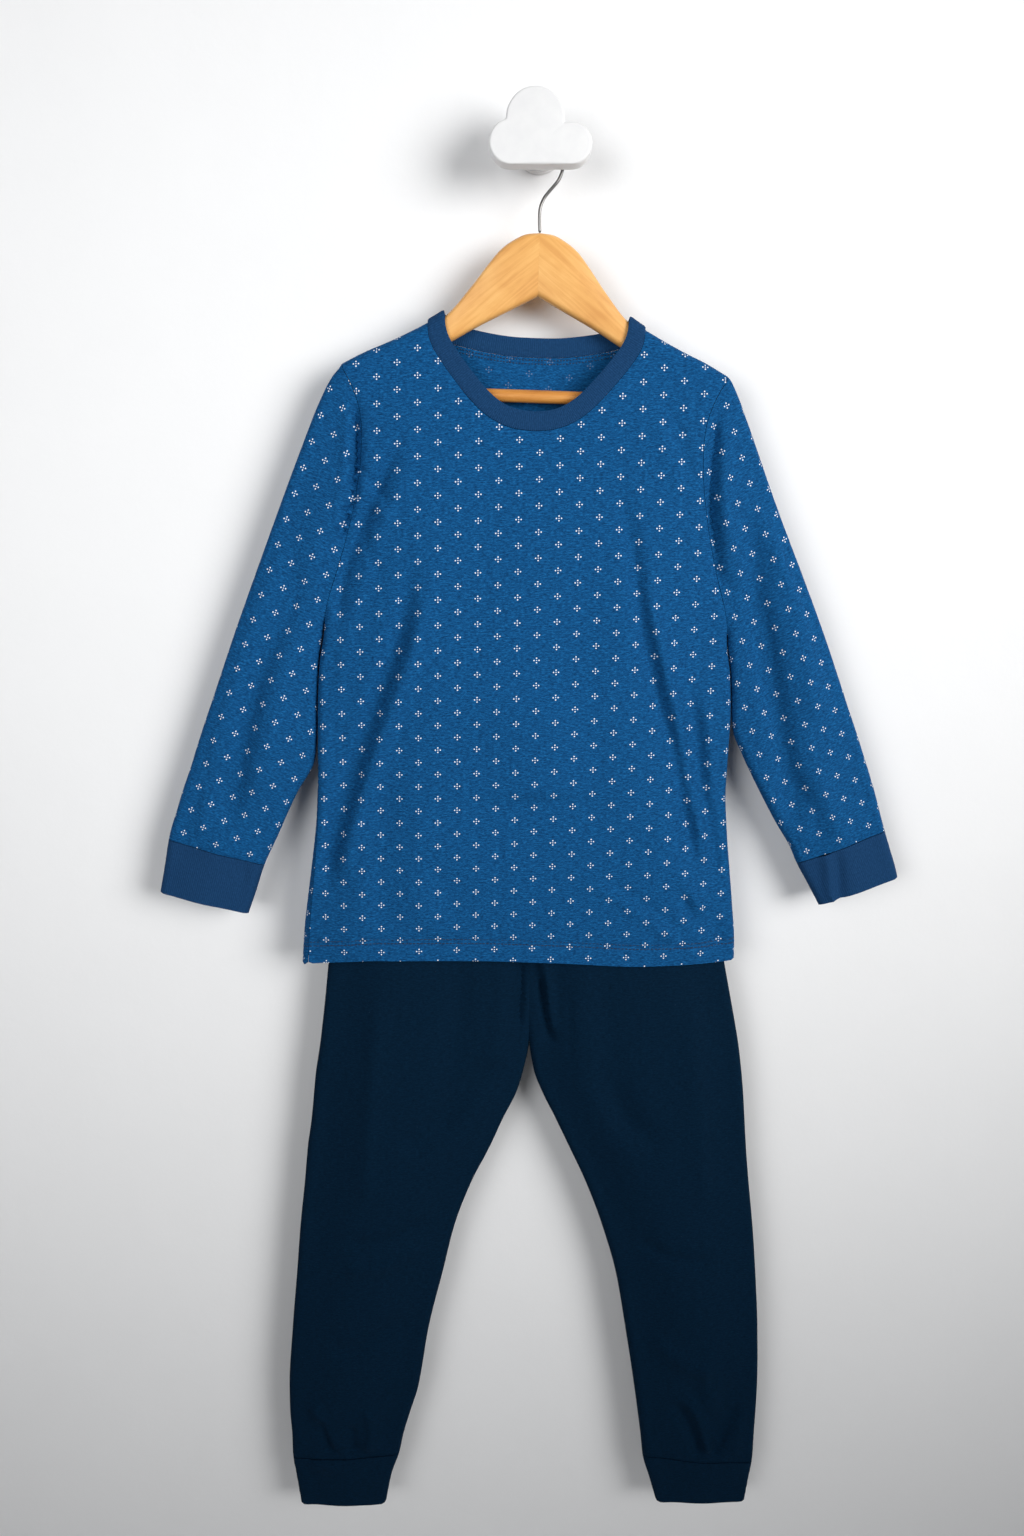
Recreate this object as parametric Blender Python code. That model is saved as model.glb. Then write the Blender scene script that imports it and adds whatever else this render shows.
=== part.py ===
"""A pyjama set: a long-sleeved top and cuffed trousers, on a wooden hanger that hangs on a wall hook.

Metres, +Z up. The wall is the plane y = 0 and everything lies on its -Y side, with +X to the viewer's right.
The origin is the middle of the wall hook's flat back. Tables and named sizes are in millimetres.
The hanger and the top lean together, so both are drawn in the leaning frame, whose origin is the
hanger's highest point. The sleeves and the trousers hang straight down and are drawn in wall millimetres.
"""

import math
from bisect import bisect_right
from collections import namedtuple
from functools import lru_cache

import bpy
from mathutils import Vector
from mathutils.geometry import delaunay_2d_cdt

MM = 0.001

# Walls and gaps
CLOTH = 1.3
RIB_CLOTH = 1.9
SEAM_GAP = 0.3
PANEL_INSET = 0.2
CUFF_GAP = 0.45
MIDDLE_Y = -27.0
CUFF_MIDDLE_Y = -25.0

# The lean of the hanger, and the top of its wood
LEAN = math.radians(1.85)
APEX_Z = -64.6

# Hanger
ARM_THICKNESS = 10.6
ARM_EDGE_RADIUS = 5.0
ARM_REACH = 143.5
BAR_DIAMETER = 9.6
BAR_Z = -115.5
BAR_HALF_LENGTH = 129.0
SOCKET_DEPTH_END = 129.6
WIRE_DIAMETER = 2.4
HOOK_RADIUS = 17.5
HOOK_END_ANGLE = 200.0

# Wall hook
BASE_DIAMETER = 36.0
BASE_THICKNESS = 6.0
PEG_DIAMETER = 11.0
PLATE_BACK_Y = -34.0
PLATE_THICKNESS = 16.0
PLATE_BEVEL = 2.0
PLATE_BOTTOM_Z = -23.6

# How the top's surface turns over at the shoulder and at its side folds
SHOULDER_RADIUS = 7.7
EDGE_RADIUS = 6.0
CLOTH_OVER_WOOD = 2.7
CROWN_REACH = 80.0
SHOULDER_REACH = 60.0

# Neck rib
RIB_WIDTH = 14.0
RIB_PROUD = 0.5
RIB_STAND = 1.8
RIB_RISE = (-0.85, 0.53)
RIB_SHARES = (0.0, 0.5, 1.0)

# Sleeves
SLEEVE_EASE = 40.0
SIDE_CLEARANCE = 0.8
SLEEVE_STEPS = 17
CUFF_STEPS = 3

# Trousers
CROTCH_Z = -707.0
CENTRE_X = -6.0
WAIST_SEAM_Z = -492.0
LEG_CROWN_REACH = 48.0
WAIST_CROWN_REACH = 90.0
LEG_STEPS = 25
WAIST_STEPS = 7
CENTRE_SHARES = (0.03, 0.08, 0.16, 0.28, 0.42, 0.58, 0.78, 1.0)

Line = namedtuple("Line", "x z")
Torso = namedtuple("Torso", "z left right front back edge seam")
Limb = namedtuple("Limb", "z outer inner front back")
Fold = namedtuple("Fold", "x_top z_top x_low z_low width depth")
Bump = namedtuple("Bump", "x z radius")
Hole = namedtuple("Hole", "z x past front back")

# Upper and lower edge of one hanger arm, leaning frame, from the middle outwards
ARM_TOP = (
    Line(0, 0), Line(9, -0.9), Line(20, -6), Line(28, -11.8), Line(36, -21), Line(51, -40.5),
    Line(68, -59.5), Line(90, -72.3), Line(111, -82.6), Line(128, -90), Line(144, -98.4), Line(175, -116),
)
ARM_LOW = (
    Line(0, -44.2), Line(16, -52.5), Line(46, -68), Line(62, -77.3), Line(84, -89), Line(102, -100),
    Line(116, -117), Line(126, -125), Line(138, -124), Line(150, -112),
)

# Neckline seam, leaning frame, on the unrolled cloth, from the shoulder seam to the middle
NECK_FRONT = (
    Line(80.5, -60.7), Line(80.6, -68), Line(80.2, -74), Line(77.4, -82), Line(71, -92.2), Line(62, -103.8),
    Line(51.5, -116), Line(40.3, -127), Line(28.5, -134.8), Line(15, -139.7), Line(0, -141.2),
)
NECK_BACK = (
    Line(80.5, -60.7), Line(80.4, -67), Line(77, -73.4), Line(66, -78), Line(52, -81.2),
    Line(36, -84), Line(18, -86), Line(0, -86.4),
)

# Armhole seam, leaning frame, from the shoulder point down to the armpit
ARMHOLE = (
    Line(145.5, -96.6), Line(143.6, -101), Line(139.5, -108), Line(135, -118), Line(131.3, -130),
    Line(129.5, -144), Line(129.8, -161), Line(131.8, -180), Line(137, -208), Line(143.5, -234),
    Line(150, -256), Line(154.3, -270), Line(157.2, -282), Line(158.5, -292),
)

# The top, leaning frame: its side folds, its half depths at the middle and at the folds, and how far
# the left seam lies on the front
TORSO = (
    Torso(-80, 168, 168, 9.0, 8.6, 7.7, 0.0),
    Torso(-130, 166, 166, 11.5, 9.4, 7.7, 0.0),
    Torso(-200, 162, 162, 14.5, 10.2, 7.4, 0.0),
    Torso(-250, 159, 159, 15.2, 10.6, 6.8, 0.0),
    Torso(-292, 158.5, 158.5, 15.6, 11.0, 6.2, 0.0),
    Torso(-325, 162.6, 163.4, 16.0, 11.4, 6.0, 1.0),
    Torso(-365, 164, 166, 16.4, 11.8, 6.4, 2.0),
    Torso(-412, 164, 166, 16.8, 12.6, 7.2, 3.5),
    Torso(-447, 165, 169, 17.4, 13.6, 8.0, 5.0),
    Torso(-480, 168, 173.5, 18.0, 14.6, 9.0, 6.5),
    Torso(-512, 171.7, 178, 18.8, 15.4, 10.0, 8.0),
    Torso(-545, 175.2, 182, 19.6, 16.2, 11.0, 9.0),
    Torso(-580, 177, 183, 20.4, 16.8, 12.0, 10.0),
)

# The hem of the top, in wall millimetres
HEM = (
    Line(-196, -631), Line(-165, -628), Line(-128, -625), Line(-47, -625), Line(20, -627),
    Line(85, -629.5), Line(140, -629), Line(166, -627),
)

# Folds of the top, leaning frame; a negative depth is a trough
TOP_FOLDS = (
    Fold(148, -372, 146, -560, 9, 1.6),
    Fold(131, -330, 136, -500, 11, -1.6),
    Fold(150, -505, 170, -545, 6, -2.6),
    Fold(141, -495, 158, -535, 6, 2.0),
    Fold(163, -440, 169, -490, 5, -1.6),
    Fold(-140, -300, -150, -520, 12, -1.5),
    Fold(-116, -330, -128, -560, 13, 1.3),
    Fold(-40, -300, -62, -520, 26, 1.2),
    Fold(62, -260, 78, -500, 26, 1.2),
)
TOP_BACK_FOLDS = (
    Fold(-90, -150, -118, -430, 20, 1.4),
    Fold(88, -160, 112, -450, 20, 1.4),
)

# Sleeves and their cuffs, in wall millimetres; above the armpit the body gives the inner side
LEFT_SLEEVE = (
    Limb(-130, -118, -110, 9.0, 8.6),
    Limb(-157.4, -148.5, -130, 9.4, 8.8),
    Limb(-166, -156.4, -140, 10.0, 9.2),
    Limb(-183, -166.0, -150, 11.0, 9.8),
    Limb(-222, -183.2, -168, 12.5, 10.5),
    Limb(-265, -201.2, -168, 13.0, 11.0),
    Limb(-310, -219.6, -168, 13.2, 11.0),
    Limb(-351, -236.2, -168.6, 13.0, 11.0),
    Limb(-372, -244.4, -172.0, 12.8, 11.0),
    Limb(-405, -257.0, -175.2, 12.6, 10.8),
    Limb(-438, -269.7, -177.0, 12.4, 10.6),
    Limb(-454, -275.6, -178.4, 12.2, 10.4),
    Limb(-464, -279.0, -180.4, 12.0, 10.2),
    Limb(-472, -282.1, -184.6, 11.6, 10.0),
    Limb(-485, -287.2, -193.0, 11.2, 9.8),
    Limb(-501, -292.8, -201.2, 10.8, 9.4),
    Limb(-525, -301.0, -212.4, 10.2, 9.0),
    Limb(-549, -306.0, -224.0, 9.6, 8.6),
    Limb(-570.6, -310.8, -231.6, 9.2, 8.4),
    Limb(-592, -315.6, -239.5, 8.8, 8.2),
)
RIGHT_SLEEVE = (
    Limb(-135, 112, 100, 9.0, 8.6),
    Limb(-165.8, 143.0, 125, 9.4, 8.8),
    Limb(-174, 147.8, 130, 10.0, 9.2),
    Limb(-199, 158.6, 140, 11.0, 9.8),
    Limb(-228, 170.2, 150, 12.5, 10.5),
    Limb(-251, 179.4, 150, 12.8, 10.8),
    Limb(-274, 189.0, 150, 13.0, 11.0),
    Limb(-314, 206.4, 150, 13.2, 11.0),
    Limb(-361, 226.2, 149.4, 13.0, 11.0),
    Limb(-396, 239.8, 153.4, 12.8, 11.0),
    Limb(-420, 248.9, 154.8, 12.4, 10.8),
    Limb(-436, 255.2, 156.6, 12.2, 10.6),
    Limb(-457, 263.0, 165.2, 11.8, 10.2),
    Limb(-487, 273.7, 180.4, 11.2, 9.8),
    Limb(-514, 282.2, 195.3, 10.6, 9.4),
    Limb(-533, 288.6, 207.0, 10.2, 9.0),
    Limb(-547.6, 293.8, 213.6, 9.6, 8.6),
    Limb(-565, 299, 223.4, 9.2, 8.4),
    Limb(-588, 306, 236, 8.8, 8.2),
)

# Where each cuff starts and ends, in wall millimetres, from the outer fold to the inner one
LEFT_SLEEVE_END = (Line(-301.0, -525.6), Line(-224.0, -549))
LEFT_CUFF_END = (Line(-310.8, -570.6), Line(-238.4, -590.8))
RIGHT_SLEEVE_END = (Line(283.4, -518), Line(213.6, -547.6))
RIGHT_CUFF_END = (Line(296.6, -557.6), Line(234.0, -583.6))
LEFT_ANKLE_SEAM = (Line(-221.7, -1112), Line(-123.6, -1108))
LEFT_ANKLE_END = (Line(-216.0, -1161), Line(-137.2, -1161))
RIGHT_ANKLE_SEAM = (Line(200.4, -1117), Line(99.0, -1110))
RIGHT_ANKLE_END = (Line(195, -1158), Line(112.2, -1159))

# Legs and ankle cuffs, in wall millimetres: above the crotch inner lies past the centre seam
LEFT_LEG = (
    Limb(-462, -143, 9, 8.6, 8.2),
    Limb(-492, -143, 6, 9.5, 8.8),
    Limb(-560, -160, 1, 12.0, 10.0),
    Limb(-632, -173.5, -1.5, 14.5, 11.5),
    Limb(-668, -178, -3.0, 15.0, 12.0),
    Limb(-707, -183.4, -6.2, 15.0, 12.0),
    Limb(-732, -187.7, -11.2, 15.0, 12.0),
    Limb(-749, -189.8, -16, 15.0, 12.0),
    Limb(-776, -193, -28.5, 15.0, 12.0),
    Limb(-801, -197, -39.2, 14.8, 12.0),
    Limb(-836, -201, -56, 14.4, 11.8),
    Limb(-877, -206.2, -70.8, 13.8, 11.4),
    Limb(-924, -211, -82, 13.2, 11.0),
    Limb(-978, -216.8, -94.9, 12.6, 10.6),
    Limb(-1041, -222.2, -105.6, 12.0, 10.2),
    Limb(-1066, -222.6, -113, 11.4, 9.8),
    Limb(-1090, -221.6, -119.8, 10.6, 9.4),
    Limb(-1109, -221.8, -123.8, 10.0, 9.0),
    Limb(-1133, -219.2, -131.6, 9.6, 8.8),
    Limb(-1165, -215.6, -137.8, 9.0, 8.4),
)
RIGHT_LEG = (
    Limb(-462, 131, -21, 8.6, 8.2),
    Limb(-492, 131, -18, 9.5, 8.8),
    Limb(-560, 144, -13, 12.0, 10.0),
    Limb(-632, 156.7, -10.5, 14.5, 11.5),
    Limb(-668, 164, -9.0, 15.0, 12.0),
    Limb(-707, 171.6, -5.8, 15.0, 12.0),
    Limb(-732, 175.2, -1.6, 15.0, 12.0),
    Limb(-749, 177.2, 4.6, 15.0, 12.0),
    Limb(-776, 179.6, 17.2, 15.0, 12.0),
    Limb(-801, 181.8, 28.4, 14.8, 12.0),
    Limb(-836, 185.6, 43.8, 14.4, 11.8),
    Limb(-877, 190.6, 58.4, 13.8, 11.4),
    Limb(-924, 195.2, 71.4, 13.2, 11.0),
    Limb(-978, 199.3, 80.7, 12.6, 10.6),
    Limb(-1041, 201.6, 90.4, 12.0, 10.2),
    Limb(-1066, 201.3, 93.8, 11.4, 9.8),
    Limb(-1090, 200.7, 97, 10.6, 9.4),
    Limb(-1112, 200.5, 99.4, 10.0, 9.0),
    Limb(-1138, 197.4, 106.6, 9.6, 8.8),
    Limb(-1160, 194.8, 112.6, 9.0, 8.4),
)
WAISTBAND = (
    Limb(-462, -143, 131, 9.0, 10.6),
    Limb(-492, -143, 131, 9.2, 10.8),
)
LEG_FOLDS = (
    Fold(138, -1020, 160, -1095, 9, -2.2),
    Fold(178, -1030, 163, -1095, 9, -2.0),
    Fold(151, -1000, 160, -1060, 8, 1.6),
    Fold(-196, -1075, -176, -1106, 7, -1.6),
    Fold(-150, -1070, -164, -1106, 7, -1.4),
    Fold(-120, -800, -150, -960, 20, 1.4),
    Fold(110, -800, 140, -980, 20, 1.4),
)

# Three round bumps make the cloud's outline above its flat bottom
CLOUD = (Bump(-4.0, 7.0, 20.8), Bump(-22.0, -8.6, 15.0), Bump(22.6, -9.6, 14.0))
CLOUD_POINTS = 48

# How finely the cloth is divided
SPACING = 21.0
BACK_SPACING = 25.0
FOLD_ARCS = 2
SHOULDER_STEPS = 5
CAP_STEPS = 3
NECK_STEPS = 10
ARMHOLE_STEPS = 10

BLUE = (0.014, 0.102, 0.292)
RIB_BLUE = (0.014, 0.050, 0.155)
NAVY = (0.003, 0.013, 0.042)
WOOD = (0.74, 0.35, 0.09)
BAR_WOOD = (0.66, 0.27, 0.055)
STEEL = (0.42, 0.40, 0.38)
WHITE = (0.91, 0.91, 0.91)


def clear_scene():
    for obj in list(bpy.data.objects):
        bpy.data.objects.remove(obj, do_unlink=True)


def material(name, colour, roughness, metallic=0.0):
    made = bpy.data.materials.new(name)
    made.use_nodes = True
    shader = made.node_tree.nodes["Principled BSDF"]
    shader.inputs["Base Color"].default_value = (*colour, 1.0)
    shader.inputs["Roughness"].default_value = roughness
    shader.inputs["Metallic"].default_value = metallic
    return made


# Curves through short tables

def ease(t):
    t = min(1.0, max(0.0, t))
    return t * t * (3.0 - 2.0 * t)


@lru_cache(maxsize=None)
def curve(rows, key, column):
    """Knots, values and slopes of a smooth curve through the rows that never overshoots them."""
    pairs = sorted((getattr(row, key), getattr(row, column)) for row in rows)
    knots = [pair[0] for pair in pairs]
    values = [pair[1] for pair in pairs]
    steps = [(values[i + 1] - values[i]) / (knots[i + 1] - knots[i]) for i in range(len(knots) - 1)]
    inner = [0.0 if a * b <= 0.0 else 2.0 * a * b / (a + b) for a, b in zip(steps, steps[1:])]
    return knots, values, [steps[0], *inner, steps[-1]]


def read(rows, key, column, at):
    """The column's value where the key column equals at. Past the table's ends it stays level."""
    knots, values, slopes = curve(rows, key, column)
    at = min(max(at, knots[0]), knots[-1])
    i = min(max(bisect_right(knots, at) - 1, 0), len(knots) - 2)
    width = knots[i + 1] - knots[i]
    t = (at - knots[i]) / width
    return (
        values[i] * (1 + 2 * t) * (1 - t) ** 2
        + slopes[i] * width * t * (1 - t) ** 2
        + values[i + 1] * t * t * (3 - 2 * t)
        - slopes[i + 1] * width * t * t * (1 - t)
    )


def smooth_line(points, distances):
    """Places along a smooth curve through the points; distances(length) says how far along each one lies."""
    fine = []
    last = len(points) - 1
    for i in range(last):
        before, a, b, after = (points[min(max(j, 0), last)] for j in (i - 1, i, i + 1, i + 2))
        for step in range(12):
            t = step / 12
            fine.append(tuple(
                0.5 * (2 * a[k] + (b[k] - before[k]) * t
                       + (2 * before[k] - 5 * a[k] + 4 * b[k] - after[k]) * t ** 2
                       + (3 * a[k] - before[k] - 3 * b[k] + after[k]) * t ** 3)
                for k in (0, 1)
            ))
    fine.append((points[last][0], points[last][1]))
    lengths = [0.0]
    for a, b in zip(fine, fine[1:]):
        lengths.append(lengths[-1] + math.dist(a, b))
    placed = []
    for want in distances(lengths[-1]):
        i = min(max(bisect_right(lengths, want) - 1, 0), len(fine) - 2)
        t = (want - lengths[i]) / (lengths[i + 1] - lengths[i])
        placed.append(tuple(fine[i][k] + (fine[i + 1][k] - fine[i][k]) * t for k in (0, 1)))
    return placed


def evenly(count):
    return lambda length: [length * i / count for i in range(count + 1)]


def capped(count):
    """Short steps round the shoulder fold first, then count even ones."""
    arc = math.pi / 2 * SHOULDER_RADIUS

    def distances(length):
        cap = [arc * i / CAP_STEPS for i in range(CAP_STEPS)]
        return cap + [arc + (length - arc) * i / count for i in range(count + 1)]

    return distances


def fold_height(folds, x, z):
    """How far the folds lift the cloth at a place: a soft ridge or trough along each fold's line."""
    lift = 0.0
    for fold in folds:
        run_x, run_z = fold.x_low - fold.x_top, fold.z_low - fold.z_top
        length = math.hypot(run_x, run_z)
        along_it = ((x - fold.x_top) * run_x + (z - fold.z_top) * run_z) / length
        across = ((x - fold.x_top) * run_z - (z - fold.z_top) * run_x) / length
        if -fold.width < along_it < length + fold.width and abs(across) < 3 * fold.width:
            ends = ease((along_it + fold.width) / (0.35 * length)) * ease(
                (length + fold.width - along_it) / (0.35 * length))
            lift += fold.depth * ends * math.exp(-((across / fold.width) ** 2))
    return lift


# Flattened cloth: a front and a back that turn into each other round a fold at either edge.
# a is x and b is z on the flat of the cloth. Past an edge, a is measured on round the fold.

QUARTER_LESS_RADIUS = math.pi / 2 - 1


def fold_turn(a, low, high):
    """x and the cosine of the fold's turn for the unrolled place a between the folds low and high."""
    if a < low + EDGE_RADIUS:
        angle = (low + EDGE_RADIUS - a) / EDGE_RADIUS
        return low + EDGE_RADIUS * (1 - math.sin(angle)), math.cos(angle)
    if a > high - EDGE_RADIUS:
        angle = (a - high + EDGE_RADIUS) / EDGE_RADIUS
        return high - EDGE_RADIUS * (1 - math.sin(angle)), math.cos(angle)
    return a, 1.0


def unrolled(x, low, high):
    """The unrolled place of x, the other way round from fold_turn."""
    if x < low + EDGE_RADIUS:
        return low + EDGE_RADIUS * (1 - math.asin(min(1.0, 1 - (x - low) / EDGE_RADIUS)))
    if x > high - EDGE_RADIUS:
        return high - EDGE_RADIUS * (1 - math.asin(min(1.0, 1 - (high - x) / EDGE_RADIUS)))
    return x


def leaned(x, y, z):
    """A point of the leaning frame, in wall millimetres."""
    return Vector((
        x * math.cos(LEAN) + z * math.sin(LEAN),
        y,
        APEX_Z - x * math.sin(LEAN) + z * math.cos(LEAN),
    ))


# Shells: an outline on the unrolled cloth, filled with triangles and given its thickness

def inset(outline, distance):
    """The outline moved inwards by a distance; it runs clockwise."""
    moved = []
    for i, (x, z) in enumerate(outline):
        before, after = outline[i - 1], outline[(i + 1) % len(outline)]
        first = Vector((z - before[1], before[0] - x)).normalized()
        second = Vector((after[1] - z, x - after[0])).normalized()
        way = (first + second).normalized()
        moved.append((x + way.x * distance, z + way.y * distance))
    return moved


def inside(outline, x, z, margin):
    """Whether a place lies in the outline and at least margin from its edge."""
    odd = False
    for i, (ax, az) in enumerate(outline):
        bx, bz = outline[i - 1]
        if (az > z) != (bz > z) and x < ax + (z - az) * (bx - ax) / (bz - az):
            odd = not odd
        run_x, run_z = bx - ax, bz - az
        t = min(1.0, max(0.0, ((x - ax) * run_x + (z - az) * run_z) / (run_x ** 2 + run_z ** 2)))
        if math.hypot(x - ax - run_x * t, z - az - run_z * t) < margin:
            return False
    return odd


def fill(outline, near_edges, spacing):
    """Places inside the outline: the given ones near its edges, and a staggered grid between them."""
    kept = []
    for x, z in near_edges:
        if inside(outline, x, z, 1.6) and all(math.dist((x, z), other) > 2.0 for other in kept):
            kept.append((x, z))
    borders = list(kept)
    low_x, high_x = min(p[0] for p in outline), max(p[0] for p in outline)
    low_z, high_z = min(p[1] for p in outline), max(p[1] for p in outline)
    rows = max(1, round((high_z - low_z) / (spacing * 0.87)))
    for i in range(1, rows):
        z = low_z + (high_z - low_z) * i / rows
        count = int((high_x - low_x) / spacing) + 1
        for k in range(count + 1):
            x = low_x + (k + 0.5 * (i % 2)) * spacing
            if inside(outline, x, z, spacing * 0.55) and all(
                    math.dist((x, z), other) > spacing * 0.55 for other in borders):
                kept.append((x, z))
    return kept


def shell(name, outline, shared, near_edges, spacing, sides, point, thickness, finish, fixed=None, lift=0.0):
    """One closed wall from an outline on the unrolled cloth.

    point(side, a, b) gives the outer surface. shared lists the outline's places on a fold, where the
    front and the back of a tube are joined. fixed gives the outer points and ways out of some places.
    """
    places = list(outline) + fill(outline, near_edges, spacing)
    flat = delaunay_2d_cdt([Vector(place) for place in places], [], [list(range(len(outline)))], 1, 1e-6)
    triangles = [[flat[3][k][0] for k in face] for face in flat[2]]
    outer, inner, index = [], [], {}
    step = 0.3
    for side in sides:
        for k, (a, b) in enumerate(places):
            if side != sides[0] and k in shared:
                index[side, k] = index[sides[0], k]
                continue
            index[side, k] = len(outer)
            if fixed and (side, k) in fixed:
                spot, out = fixed[side, k]
            else:
                across = point(side, a + step, b) - point(side, a - step, b)
                down = point(side, a, b - step) - point(side, a, b + step)
                spot, out = point(side, a, b), across.cross(down).normalized() * side
            outer.append(spot + out * lift)
            inner.append(spot - out * thickness)
    faces = []
    for side in sides:
        for triangle in triangles:
            corners = [index[side, k] for k in triangle]
            faces.append(corners if side < 0 else corners[::-1])
    edges = {(face[k], face[(k + 1) % 3]) for face in faces for k in range(3)}
    shift = len(outer)
    rim = [(b, a, a + shift, b + shift) for a, b in sorted(edges) if (b, a) not in edges]
    back = [tuple(k + shift for k in reversed(face)) for face in faces]
    return solid(name, outer + inner, faces + back + rim, finish)


def solid(name, points, faces, finish):
    """An object from points in millimetres, its faces turned outwards, smooth but for its sharp edges."""
    volume = sum(
        points[face[0]].dot(points[face[k]].cross(points[face[k + 1]]))
        for face in faces for k in range(1, len(face) - 1)
    )
    if volume < 0:
        faces = [tuple(reversed(face)) for face in faces]
    mesh = bpy.data.meshes.new(name)
    mesh.from_pydata([point * MM for point in points], [], faces)
    mesh.shade_smooth()
    mesh.set_sharp_from_angle(angle=math.radians(40))
    mesh.materials.append(finish)
    made = bpy.data.objects.new(name, mesh)
    bpy.context.collection.objects.link(made)
    return made


# The body of the top

def ridge(x):
    """The height of the shoulder fold, just over the hanger's arms."""
    return read(ARM_TOP, "x", "z", abs(x)) + CLOTH_OVER_WOOD


def ridge_top(x):
    """Where the unrolled cloth reaches the shoulder fold."""
    return ridge(x) + QUARTER_LESS_RADIUS * SHOULDER_RADIUS


def torso_folds(b):
    return -read(TORSO, "z", "left", b), read(TORSO, "z", "right", b)


def torso_height(facing, x, z, low, high):
    """How far the body's cloth stands from its middle plane away from any fold, and its small folds."""
    base = read(TORSO, "z", "edge", z)
    depth = read(TORSO, "z", "front" if facing < 0 else "back", z)
    edge = min(x - low, high - x) - EDGE_RADIUS
    grown = ease(edge / CROWN_REACH) * ease((ridge(x) - SHOULDER_RADIUS - z) / SHOULDER_REACH)
    folds = TOP_FOLDS if facing < 0 else TOP_BACK_FOLDS
    return base + (depth - base) * grown + fold_height(folds, x, z) * ease(edge / 8)


def torso(side, a, b):
    """A point of the top's body, side -1 the front or 1 the back, from a place on the unrolled cloth."""
    low, high = torso_folds(b)
    x, turn = fold_turn(a, low, high)
    z = b
    flat_top = ridge(x) - SHOULDER_RADIUS
    if b > flat_top:
        angle = (b - flat_top) / SHOULDER_RADIUS
        z = flat_top + SHOULDER_RADIUS * math.sin(angle)
        turn *= math.cos(angle)
    facing = side if turn >= 0 else -side
    return leaned(x, MIDDLE_Y + side * turn * torso_height(facing, x, z, low, high), z)


def torso_out(side, a, b):
    """The way out of the body's cloth at a place."""
    step = 0.3
    across = torso(side, a + step, b) - torso(side, a - step, b)
    down = torso(side, a, b - step) - torso(side, a, b + step)
    return across.cross(down).normalized() * side


def armhole(sign):
    """Unrolled places of an armhole seam, from the shoulder point to the armpit, for side fold sign."""
    column = "left" if sign < 0 else "right"
    rows = [(ARMHOLE[0].x, ridge_top(ARMHOLE[0].x))]
    for x, z in ARMHOLE[1:]:
        edge = read(TORSO, "z", column, z)
        top = ridge(x) - SHOULDER_RADIUS
        b = z
        if z > top:
            b = top + SHOULDER_RADIUS * math.asin(min(1.0, (z - top) / SHOULDER_RADIUS))
        rows.append((unrolled(x, -edge, edge), b))
    return [(sign * a, b) for a, b in smooth_line(rows, capped(ARMHOLE_STEPS))]


def hem_height(x):
    """The height of the hem at a place across the leaning frame."""
    hang = read(HEM, "x", "z", x - 18.0) - APEX_Z
    return (hang + x * math.sin(LEAN)) / math.cos(LEAN)


def neckline(rows):
    """Unrolled places of half the neckline seam, from the shoulder fold to the middle."""
    return smooth_line([(rows[0].x, ridge_top(rows[0].x)), *rows[1:]], capped(NECK_STEPS))


def torso_outline(side, neck_rows):
    """The outline of the front or the back, clockwise from the left shoulder point."""
    half = neckline(neck_rows)
    hole_x, neck_x = ARMHOLE[0].x, half[0][0]
    shoulder = [hole_x + (neck_x - hole_x) * i / SHOULDER_STEPS for i in range(1, SHOULDER_STEPS)]
    left, right = armhole(-1), armhole(1)
    ups = [left[0]] + [(-x, ridge_top(x)) for x in shoulder]
    neck = [(-x, z) for x, z in half] + [(x, z) for x, z in reversed(half[:-1])]
    downs = [(x, ridge_top(x)) for x in reversed(shoulder)] + right
    armpit, steps = right[-1][1], 15
    seams = {}
    for sign in (-1, 1):
        column = "left" if sign < 0 else "right"
        seams[sign] = []
        for i in range(1, steps + 1):
            fold = read(TORSO, "z", column, armpit)
            b = armpit + (hem_height(sign * fold) - armpit) * i / steps
            moved = read(TORSO, "z", "seam", b) if sign < 0 else 0.0
            fold = read(TORSO, "z", column, b) + QUARTER_LESS_RADIUS * EDGE_RADIUS
            seams[sign].append((sign * (fold + side * moved), b))
    low, high = seams[-1][-1][0], seams[1][-1][0]
    count = round((high - low) / SPACING)
    hem = [(high + (low - high) * i / count, hem_height(high + (low - high) * i / count))
           for i in range(1, count)]
    return ups + neck + downs + seams[1] + hem + list(reversed(seams[-1])) + list(reversed(left))[:-1]


def torso_near_edges(outline):
    """Places round the shoulder fold and the side folds, so that each fold is round."""
    near = []
    arc = math.pi / 2 * SHOULDER_RADIUS
    for i in range(SHOULDER_STEPS):
        x = ARMHOLE[0].x + (NECK_FRONT[0].x - ARMHOLE[0].x) * i / SHOULDER_STEPS
        for down in [arc * (k + 1) / CAP_STEPS for k in range(CAP_STEPS)] + [arc + 9.0]:
            near += [(-x, ridge_top(x) - down), (x, ridge_top(x) - down)]
    for a, b in outline:
        low, high = torso_folds(b)
        arc = math.pi / 2 * EDGE_RADIUS
        if a < low + 12:
            edge = low - QUARTER_LESS_RADIUS * EDGE_RADIUS
            near += [(edge + arc * (k + 1) / FOLD_ARCS, b) for k in range(-1, FOLD_ARCS)]
        if a > high - 12:
            edge = high + QUARTER_LESS_RADIUS * EDGE_RADIUS
            near += [(edge - arc * (k + 1) / FOLD_ARCS, b) for k in range(-1, FOLD_ARCS)]
    return near


def torso_panel(name, side, neck_rows, spacing, finish):
    outline = inset(torso_outline(side, neck_rows), PANEL_INSET)
    shell(name, outline, (), torso_near_edges(outline), spacing, (side,), torso, CLOTH, finish)


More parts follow.
